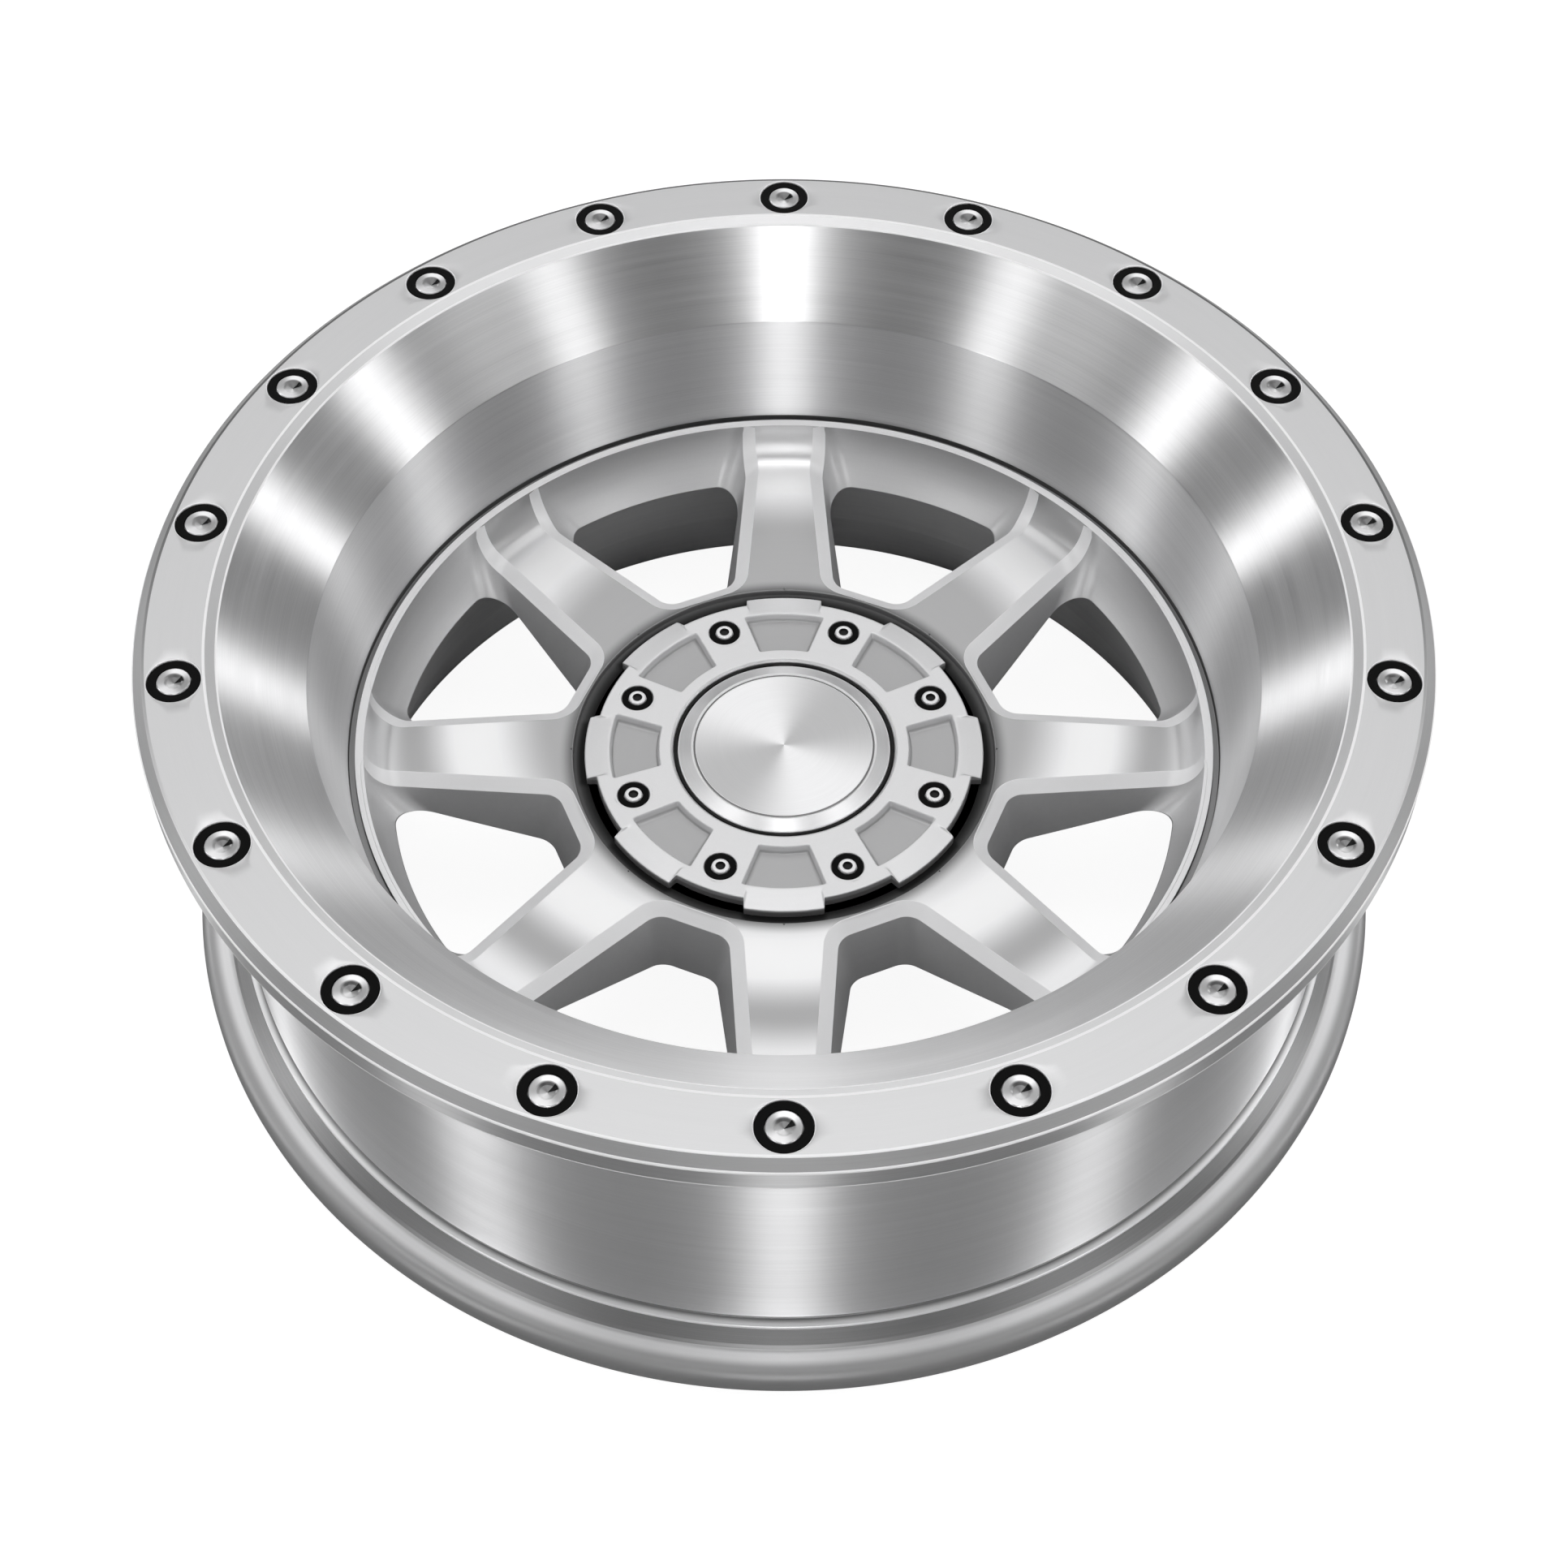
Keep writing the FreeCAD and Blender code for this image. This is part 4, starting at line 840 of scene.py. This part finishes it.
def land_edge(angle):
    """Inner edge of the land: the scoop's top at the spokes, the window's outer outline between them."""
    along = np.arctan2(window_top[:, 1], window_top[:, 0])
    radius = np.linalg.norm(window_top, axis=1)
    keep = radius > OUTLINE_START
    order = np.argsort(along[keep])
    turn = np.abs(angle % (2 * HALF_STEP) - HALF_STEP)
    found = np.interp(turn, along[keep][order], radius[keep][order], right=0.0)
    return np.maximum(found, LAND_INNER)


shell = Shell()
inner = land_edge(angle)
land = np.stack([inner, inner + 0.08, inner + 0.35, inner + 0.6, np.full(RIM_COLS, LAND_OUTER - 0.6)])
land_height = LAND_LEVEL - np.array([0.7, 0.25, 0.0, 0.0, 0.0])[:, None]
shell.add(polar(land, angle, land_height), highlight_metal, wrap=True)
add_bands(shell, [
    (LAND_OUTER - 0.6, LAND_LEVEL, 0), (LAND_OUTER, LAND_LEVEL, 0.35), (LAND_OUTER, GROOVE_LEVEL, 0.6),
    (GROOVE_OUTER, GROOVE_LEVEL, 0.6), (GROOVE_OUTER, 65.5, 0.5), (243.2, 126.1, 0.8), (283.0, 162.2, 0.6),
    (288.2, RING_LEVEL, 0.5), (RING_INNER, RING_LEVEL, 0),
], [highlight_metal] * 2 + [channel_metal] * 5 + [lit_low_metal] * 2 + [lip_metal] * 2 + [
    highlight_metal, ring_metal, highlight_metal, highlight_metal], RIM_COLS)
shell.make("wheel_lip", [lip_metal, lit_low_metal, channel_metal, highlight_metal, ring_metal],
           ["forged_wheel"])

shell = Shell()
around = sector_angles(RING_INNER, RING_FLAT, LIP_BOLTS, BOLT_CIRCLE, 96)
flat = holed_sector(RING_INNER, RING_FLAT, LIP_BOLTS, BOLT_CIRCLE, BOLT_CUP, RING_LEVEL, around)
shell.add(turned_copies(flat, LIP_BOLTS, FIRST_BOLT), ring_metal, wrap=True)
cup = rounded([(8.0, BOLT_FLOOR, 0), (13.5, BOLT_FLOOR, 0.2), (13.5, 164.7, 0.3), (BOLT_CUP, RING_LEVEL, 0)],
              support=0.1)
add_small(shell, cup, BOLT_CIRCLE, LIP_BOLTS, FIRST_BOLT, highlight_metal, around)
add_bands(shell, [
    (RING_FLAT, RING_LEVEL, 0), (318.8, RING_LEVEL, 0.8), (RIM_RADIUS, 159.8, 1.0),
    (RIM_RADIUS, RING_FOOT, 0.8), (BARREL_TOP, RING_FOOT, 0),
], [outer_painted_highlight, outer_painted_highlight, shaded_side_metal, highlight_metal, lip_metal, highlight_metal, lip_metal], RIM_COLS)
shell.make("wheel_outer_ring", [ring_metal, highlight_metal, shaded_side_metal, lip_metal, outer_painted_highlight],
           ["forged_wheel"])

VALVE_LEVEL, VALVE_RADIUS, VALVE_FRAME, VALVE_COLS, VALVE_LINES = -18.0, 5.75, 10.0, 4, 48


def add_pierced(shell, span, finish, flip):
    """Turned straight span with the round valve hole at the far side; hands back the edge of the hole.

    Round the hole each line leaves its centre at an angle and ends at the first side of a small frame that it
    meets. A strip fills the span above the frame and another below it, and an open ring takes the rest.
    """
    (first_radius, first), (last_radius, last) = span
    middle = (first_radius + last_radius) / 2

    def placed(across, height):
        radius = first_radius + (last_radius - first_radius) * (height - first) / (last - first)
        return polar(radius, math.pi / 2 + across / middle, height)

    wide = middle * VALVE_COLS * TURN / RIM_COLS
    corner = math.atan2(VALVE_FRAME, wide)
    corners = [corner, math.pi - corner, math.pi + corner, TURN - corner]
    turn = np.sort(np.concatenate([even_angles(VALVE_LINES), corners]))
    c, s = np.cos(turn), np.sin(turn)
    reach = np.minimum(wide / np.maximum(np.abs(c), 1e-9), VALVE_FRAME / np.maximum(np.abs(s), 1e-9))
    share = np.array([0, 0.05, 0.12, 0.4, 0.7, 1.0])[:, None]
    away = VALVE_RADIUS + (reach - VALVE_RADIUS) * share
    shell.add(placed(away * c, VALVE_LEVEL + away * s), finish, wrap=True, flip=flip)
    on_top = (turn > corner - 1e-6) & (turn < math.pi - corner + 1e-6)
    strip = np.sort(VALVE_FRAME * c[on_top] / s[on_top])
    step = math.copysign(VALVE_FRAME, last - first)
    for low, high in ((first, VALVE_LEVEL - step), (VALVE_LEVEL + step, last)):
        shell.add(placed(strip, np.array([low, high])[:, None]), finish)
    ring = np.arange(VALVE_COLS, RIM_COLS - VALVE_COLS + 1) * TURN / RIM_COLS * middle
    shell.add(placed(ring, np.array([first, last])[:, None]), finish)
    return placed(VALVE_RADIUS * c, VALVE_LEVEL + VALVE_RADIUS * s)


# Barrel from the front seat down to the rear hump, the channel behind the hump and the rolled rear flange.
shell = Shell()
outside, inside = add_bands(shell, [
    (BARREL_TOP, RING_FOOT, 0), (BARREL_SEAT, RING_FOOT, 3.8), (BARREL_SEAT, 143.0, 0.3), (305.4, 122.0, 0.8),
    (306.4, 120.5, 0.6), (299.5, 106.5, 3.0), (297.5, -29.0, 1.0), (296.3, -31.0, 1.0), (301.3, -33.2, 0.9),
    (301.3, -34.8, 0.9), (300.1, -36.0, 0.8), (307.2, -40.5, 1.0), (309.2, FLANGE_TOP, 1.0),
    (RIM_RADIUS, FLANGE_TOP, 10.5), (RIM_RADIUS, FLANGE_FOOT, 6.0), (306.0, FLANGE_FOOT, 1.0),
    (290.3, -42.0, 2.0), (HOLLOW_RADIUS, 0.0, 0),
], [barrel_metal] * 10 + [None, barrel_metal] + [channel_metal] * 2 + [hump_metal] * 5 + [channel_metal] * 4
    + [flange_metal] * 5 + [rear_metal] * 4 + [None], RIM_COLS)
deep = add_pierced(shell, inside, rear_metal, True)
mouth = add_pierced(shell, outside, barrel_metal, False)
share = np.array([0, 0.05, 0.5, 0.95, 1.0])[:, None, None]
shell.add(deep + (mouth - deep) * share, channel_metal, wrap=True)
shell.make("wheel_barrel", [barrel_metal, rear_metal, channel_metal, hump_metal, flange_metal],
           ["forged_wheel"])

# Walls of the hollow between barrel and dish, which opens to the rear.
shell = Shell()
walls = rounded([
    (HOLLOW_RADIUS, 0.0, 0), (291.3, 141.0, 8.0), (283.3, 141.0, 1.5), (259.0, 122.0, 4.0),
    (251.0, 112.0, 5.0), (237.8, 65.5, 6.0), (230.8, 20.0, 6.0), (230.8, -13.0, 4.0), (248.8, -58.0, 1.0),
    (242.0, -58.0, 0.8), (224.0, -13.0, 2.0), (WALL_RADIUS, WALL_LEVEL, 0)])
shell.add(revolved(walls, TURNED_COLS), rear_metal, wrap=True)
shell.make("wheel_inner_wall", [rear_metal], ["forged_wheel"])


# Hub cap

def side_angle(radius):
    """Half angle of a pocket at a radius: its straight side passes the wheel axis at a gap.

    Past the pocket the same line leads over to the side of the lobe.
    """
    r = np.clip(radius, POCKET_IN, POCKET_OUT)
    pocket = POCKET_SLANT - np.arcsin(POCKET_GAP / r)
    return pocket + (LOBE_HALF - pocket) * smooth_step(radius, POCKET_OUT, 98.0)


def lobe_fall(radius, lobe):
    """How far a lobe's top lies below the face: an even fall outwards, and none between the lobes."""
    return LOBE_FALL * np.clip((radius - FALL_START) / FALL_REACH, 0, 1) * lobe


def cap_grid():
    """Top and sides of one eighth of the cap, on rows of radius and columns of angle.

    The columns crowd at the sides of the pocket and the lobe. Height is the face, less the fall of each lobe,
    less the pocket: the pocket's depth times one smooth step across its inner and outer walls and another
    across its side walls.
    """
    near = np.array([-1.6, -1.2, -0.9, -0.6, -0.3, 0.0, 0.3, 0.6, 0.9, 1.2, 1.6]) * 1.15
    middle = np.linspace(0, 1, 12)[:-1]
    beyond = np.linspace(0, 1, 26)[1:]
    rows = np.concatenate([
        [60.9, 61.6, 63.5], POCKET_IN - np.array([1.4, 0.7, 0.35]),
        POCKET_IN + np.linspace(0, POCKET_WALL, 8), POCKET_IN + POCKET_WALL + np.array([0.4, 0.9]),
        np.linspace(71, 89.5, 24),
        POCKET_OUT - POCKET_WALL - np.array([0.9, 0.4]), POCKET_OUT - np.linspace(POCKET_WALL, 0, 8),
        POCKET_OUT + np.array([0.4, 0.8, 1.4, 2.2]), [96.6, 97.6, 98.4, 99.2, 100.0]])
    radius = rows[:, None]
    side = side_angle(radius)
    lines = side + near[None, :] / radius
    first = middle[None, :] * lines[:, :1]
    last = lines[:, -1:] + beyond[None, :] * (HALF_STEP - lines[:, -1:])
    half = np.concatenate([first, lines, last], 1)
    angle = np.concatenate([-half[:, :0:-1], half[:, :-1]], 1)
    radius = np.broadcast_to(radius, angle.shape)
    aside = (np.abs(angle) - side) * radius
    in_lobe = 1 - smooth_step((np.abs(angle) - LOBE_HALF) * radius, -0.6, 0.6)
    across = smooth_step(radius, POCKET_IN, POCKET_IN + POCKET_WALL)
    across = across * (1 - smooth_step(radius, POCKET_OUT - POCKET_WALL, POCKET_OUT))
    sideways = 1 - smooth_step(aside, -POCKET_WALL, 0.0)
    height = CAP_FACE - lobe_fall(radius, in_lobe) - POCKET_DEPTH * across * sideways
    away = np.hypot(radius * np.cos(angle) - SCREW_CIRCLE * math.cos(HALF_STEP),
                    np.abs(radius * np.sin(angle)) - SCREW_CIRCLE * math.sin(HALF_STEP))
    height = np.where(away < 8.9, 44.0, height)
    # The outer rim goes from the last row out to the lobes and the waist, rounds over, and falls to the seat.
    lobe = 1 - smooth_step((np.abs(angle[-1]) - LOBE_HALF) * LOBE_ARC, -0.7, 0.7)
    rim = WAIST_RADIUS + (LOBE_RADIUS - WAIST_RADIUS) * lobe
    top, start = (CAP_FACE - lobe_fall(place, lobe) for place in (rim, RIM_START))
    out = [(RIM_START + (rim - 1.0 - RIM_START) * t, start + (top - start) * t) for t in (0.5, 0.9)]
    out += [(rim - 0.8, top), (rim - 0.35, top - 0.08), (rim - 0.1, top - 0.3), (rim, top - 0.75),
            (rim, top - 1.2), (rim, np.full_like(rim, CAP_FOOT + 0.3)), (rim, np.full_like(rim, CAP_FOOT))]
    # The opening has a bevelled edge and a wall down to the ledge.
    ones = np.ones_like(rim)
    hole = [(CAP_OPENING, CAP_LEDGE), (CAP_OPENING, 45.0), (CAP_OPENING + 0.05, 45.4),
            (CAP_OPENING + 0.3, 45.8), (CAP_OPENING + 1.3, 46.8), (CAP_OPENING + 1.5, 46.95)]
    radius = np.concatenate([np.stack([r * ones for r, _ in hole]), radius, np.stack([r for r, _ in out])])
    height = np.concatenate([np.stack([z * ones for _, z in hole]), height, np.stack([z for _, z in out])])
    angle = np.concatenate([np.repeat(angle[:1], len(hole), 0), angle, np.repeat(angle[-1:], len(out), 0)])
    return polar(radius, angle, height)


shell = Shell()
sector = cap_grid()
whole = turned_copies(sector, SPOKES).transpose(1, 0, 2, 3).reshape(len(sector), -1, 3)
shell.add(whole, cap_metal, wrap=True)
recess = rounded([(2.8, SCREW_FLOOR, 0), (8.6, SCREW_FLOOR, 0.2), (8.6, 46.7, 0.3), (9.0, 47.02, 0.15),
                  (9.9, 47.02, 0)], support=0.1)
add_small(shell, recess, SCREW_CIRCLE, SPOKES, FIRST_WINDOW, cap_metal)
under = rounded([(106.0, CAP_FOOT, 0), (54.0, CAP_FOOT, 0.3), (54.0, CAP_LEDGE, 0.3),
                 (CAP_OPENING, CAP_LEDGE, 0)])
shell.add(revolved(under, TURNED_COLS), cap_metal, wrap=True)
shell.make("hub_cap_body", [cap_metal], ["hub_cap"])

# Spun disc with a bevelled rim, and the black ring round it.
DISC_FACE, DISC_RADIUS = 47.65, 56.8
shell = Shell()
add_bands(shell, [
    (0.0, DISC_FACE, 0), (47.3, DISC_FACE, 0.2), (48.25, 47.2, 0.3), (49.3, 48.0, 0.4),
    (DISC_RADIUS, 45.4, 0.6), (DISC_RADIUS, CAP_LEDGE, 0.3), (0.0, CAP_LEDGE, 0),
], [disc_metal, highlight_metal] + [channel_metal] * 2 + [highlight_metal] * 2 + [rim_metal, highlight_metal]
    + [rim_metal] * 3, TURNED_COLS, support=0.25)
shell.make("centre_disc_body", [disc_metal, highlight_metal, channel_metal, rim_metal],
           ["centre_disc"])

shell = Shell()
ring = rounded([(57.1, CAP_LEDGE, 0), (57.1, 45.8, 0.7), (58.9, 45.8, 0.7), (58.9, CAP_LEDGE, 0)])
shell.add(revolved(ring, TURNED_COLS), seal_black, wrap=True)
shell.make("disc_seal", [seal_black], ["disc_seal_ring"])

# Bolts of the ring and screws of the cap, each in its black collar.
shell = Shell()
head = rounded([(0.0, 162.7, 0), (3.4, 163.5, 0.6), (4.6, 164.2, 0.8), (7.2, 164.6, 0.5), (7.9, 164.65, 0.4),
                (BOLT_HEAD, 164.1, 0.3), (BOLT_HEAD, BOLT_FLOOR, 0)], support=0.15)
head = np.concatenate([head[:1], head[:1] + (head[1] - head[0]) * np.array([[0.1], [0.4], [0.7]]), head[1:]])
heads = turned_copies(small_turned(head, BOLT_CIRCLE), LIP_BOLTS, FIRST_BOLT)
middle = turned_copies(np.array([[[BOLT_CIRCLE, 0.0, 0.0]]]), LIP_BOLTS, FIRST_BOLT)
shell.add(heads, bolt_metal, wrap=True, own=((heads - middle) / BOLT_HEAD)[..., :2])
shell.make("ring_bolts", [bolt_metal], ["lip_bolts"])

shell = Shell()
collar = rounded([(8.75, BOLT_FLOOR, 0), (8.75, 164.4, 0.3), (11.0, 164.5, 1.5), (13.2, 164.4, 0.4),
                  (13.2, BOLT_FLOOR, 0)], support=0.15)
add_small(shell, collar, BOLT_CIRCLE, LIP_BOLTS, FIRST_BOLT, collar_black, even_angles(72))
shell.make("bolt_collars", [collar_black], ["lip_bolt_collars"])

# The socket's rows are six-sided, apart from the last one, which meets the round crown.
shell = Shell()
turn = even_angles(60)
hexagon = math.cos(math.pi / 6) / np.cos((turn % (math.pi / 3)) - math.pi / 6) * 1.06
socket = np.array([(0.0, 45.9), (1.2, 46.0), (2.25, 46.1), (2.3, 46.2), (2.3, 47.1), (2.36, 47.3),
                   (2.6, 47.45)])
blend = np.concatenate([np.repeat(hexagon[None], len(socket) - 1, 0), np.ones((1, len(turn)))])
add_small(shell, socket, SCREW_CIRCLE, SPOKES, FIRST_WINDOW, seat_dark, turn, blend)
crown = np.array([(2.6, 47.45), (2.8, 47.56), (3.05, 47.6), (3.8, 47.6), (4.15, 47.54), (4.45, 47.3),
                  (4.65, 46.95), (4.7, 46.6), (4.7, SCREW_FLOOR)])
add_small(shell, crown, SCREW_CIRCLE, SPOKES, FIRST_WINDOW, screw_metal, turn)
shell.make("cap_screw_heads", [screw_metal, seat_dark], ["cap_screws"])

shell = Shell()
collar = rounded([(5.0, SCREW_FLOOR, 0), (5.0, 46.6, 0.25), (6.6, 46.85, 1.0), (8.3, 46.6, 0.3),
                  (8.3, SCREW_FLOOR, 0)], support=0.15)
add_small(shell, collar, SCREW_CIRCLE, SPOKES, FIRST_WINDOW, collar_black)
shell.make("screw_collars", [collar_black], ["cap_screw_collars"])


# Floor, light and camera

FLOOR_LEVEL, FLOOR_REACH = -0.0602, 6.0
STRIP_DISTANCE, OVERHEAD_HEIGHT = 2.4, 2.4
FRAME_PIXELS, FOCAL_PIXELS, SENSOR = 1932.0, 3400.0, 36.0
CAMERA_PLACE, CAMERA_TILT = (0.0, -0.91397, 1.20591), math.radians(37.46)


def choose_by_ray(tree, seen, unseen, out):
    """One shader for what the camera sees directly and another for all other light."""
    choice = put(tree, "ShaderNodeMixShader")
    tree.links.new(put(tree, "ShaderNodeLightPath").outputs["Is Camera Ray"], choice.inputs[0])
    tree.links.new(unseen.outputs[0], choice.inputs[1])
    tree.links.new(seen.outputs[0], choice.inputs[2])
    tree.links.new(choice.outputs[0], out.inputs[0])


def make_floor():
    """Flat square of four faces under the wheel, pale to the camera and dimmer to the light."""
    u = np.linspace(-FLOOR_REACH, FLOOR_REACH, 3)
    grid = np.stack(np.meshgrid(u, u, indexing="ij") + [np.full((3, 3), FLOOR_LEVEL)], -1)
    mesh = bpy.data.meshes.new("studio_floor")
    mesh.from_pydata(grid.reshape(-1, 3).tolist(), [], quads(3, 3, False).tolist())
    floor = bpy.data.objects.new("studio_floor", mesh)
    bpy.context.scene.collection.objects.link(floor)
    material = bpy.data.materials.new("pale_floor")
    tree = emptied(material)
    pale = put(tree, "ShaderNodeBsdfPrincipled", in_Base_Color=(0.22, 0.22, 0.22, 1.0), in_Roughness=0.9,
               in_Specular_IOR_Level=0.0, in_Emission_Color=(1.0, 1.0, 1.0, 1.0), in_Emission_Strength=0.92)
    dim = put(tree, "ShaderNodeBsdfDiffuse", in_Color=(0.4, 0.4, 0.4, 1.0))
    choose_by_ray(tree, pale, dim, put(tree, "ShaderNodeOutputMaterial"))
    mesh.materials.append(material)


def make_backdrop():
    """Even surroundings, pale to the camera and dim to the light."""
    world = bpy.data.worlds.new("studio")
    bpy.context.scene.world = world
    sky = emptied(world)
    pale = put(sky, "ShaderNodeBackground", in_Color=(0.94, 0.94, 0.94, 1.0))
    dim = put(sky, "ShaderNodeBackground", in_Color=(0.07, 0.07, 0.071, 1.0))
    choose_by_ray(sky, pale, dim, put(sky, "ShaderNodeOutputWorld"))


def soft_box(name, place, target, width, height, radiance):
    """Flat soft light that faces a point; its power is pi times its radiance and its area."""
    light = bpy.data.lights.new(name, "AREA")
    light.shape = "RECTANGLE"
    light.size, light.size_y = width, height
    light.energy = radiance * math.pi * width * height
    box = bpy.data.objects.new(name, light)
    bpy.context.scene.collection.objects.link(box)
    way = np.array(target, float) - np.array(place, float)
    flat = math.hypot(way[0], way[1])
    box.location = place
    box.rotation_euler = (math.atan2(flat, -way[2]), 0.0, math.atan2(way[1], way[0]) - math.pi / 2)
    box.visible_camera = False


def strip_round(name, azimuth, width, height, radiance):
    """Upright soft light that stands on the floor at an angle round the wheel."""
    turn = math.radians(azimuth)
    place = (STRIP_DISTANCE * math.cos(turn), STRIP_DISTANCE * math.sin(turn), height / 2)
    soft_box(name, place, (0, 0, height / 2), width, height, radiance)


make_floor()
make_backdrop()
strip_round("front_strip", -90, 0.42, 2.6, 4.8)
strip_round("rear_strip", 90, 0.35, 1.0, 2.5)
for side, azimuth, width, height, radiance in (
        ("front", -43, 0.45, 2.2, 3.9), ("middle", 0, 0.3, 2.2, 5.4), ("rear", 28, 0.26, 1.6, 5.4),
        ("far", 54, 0.24, 1.2, 4.4), ("last", 73, 0.2, 1.0, 3.4)):
    strip_round("right_strip_" + side, azimuth, width, height, radiance)
    strip_round("left_strip_" + side, 180 - azimuth, width, height, radiance)
soft_box("rear_low_panel", (0.0, 3.2, 0.37), (0, 0, 0.37), 5.0, 0.36, 1.0)
soft_box("overhead_right", (1.0, 0.0, OVERHEAD_HEIGHT), (0, 0, 0.05), 0.4, 0.9, 3.2)
soft_box("overhead_middle", (0.0, -0.2, OVERHEAD_HEIGHT), (0, 0, 0.05), 0.3, 1.2, 4.0)
soft_box("overhead_left", (-1.0, 0.0, OVERHEAD_HEIGHT), (0, 0, 0.05), 0.4, 0.9, 3.2)
soft_box("top_panel", (0.0, 2.2, 2.9), (0, 2.2, 0.1), 4.0, 4.0, 0.95)

lens = bpy.data.cameras.new("photo_view")
lens.sensor_width = SENSOR
lens.lens = FOCAL_PIXELS / FRAME_PIXELS * SENSOR
lens.dof.use_dof = False
camera = bpy.data.objects.new("photo_view", lens)
bpy.context.scene.collection.objects.link(camera)
camera.location = CAMERA_PLACE
camera.rotation_euler = (CAMERA_TILT, 0.0, 0.0)
bpy.context.scene.camera = camera
bpy.context.scene.view_settings.view_transform = "Standard"
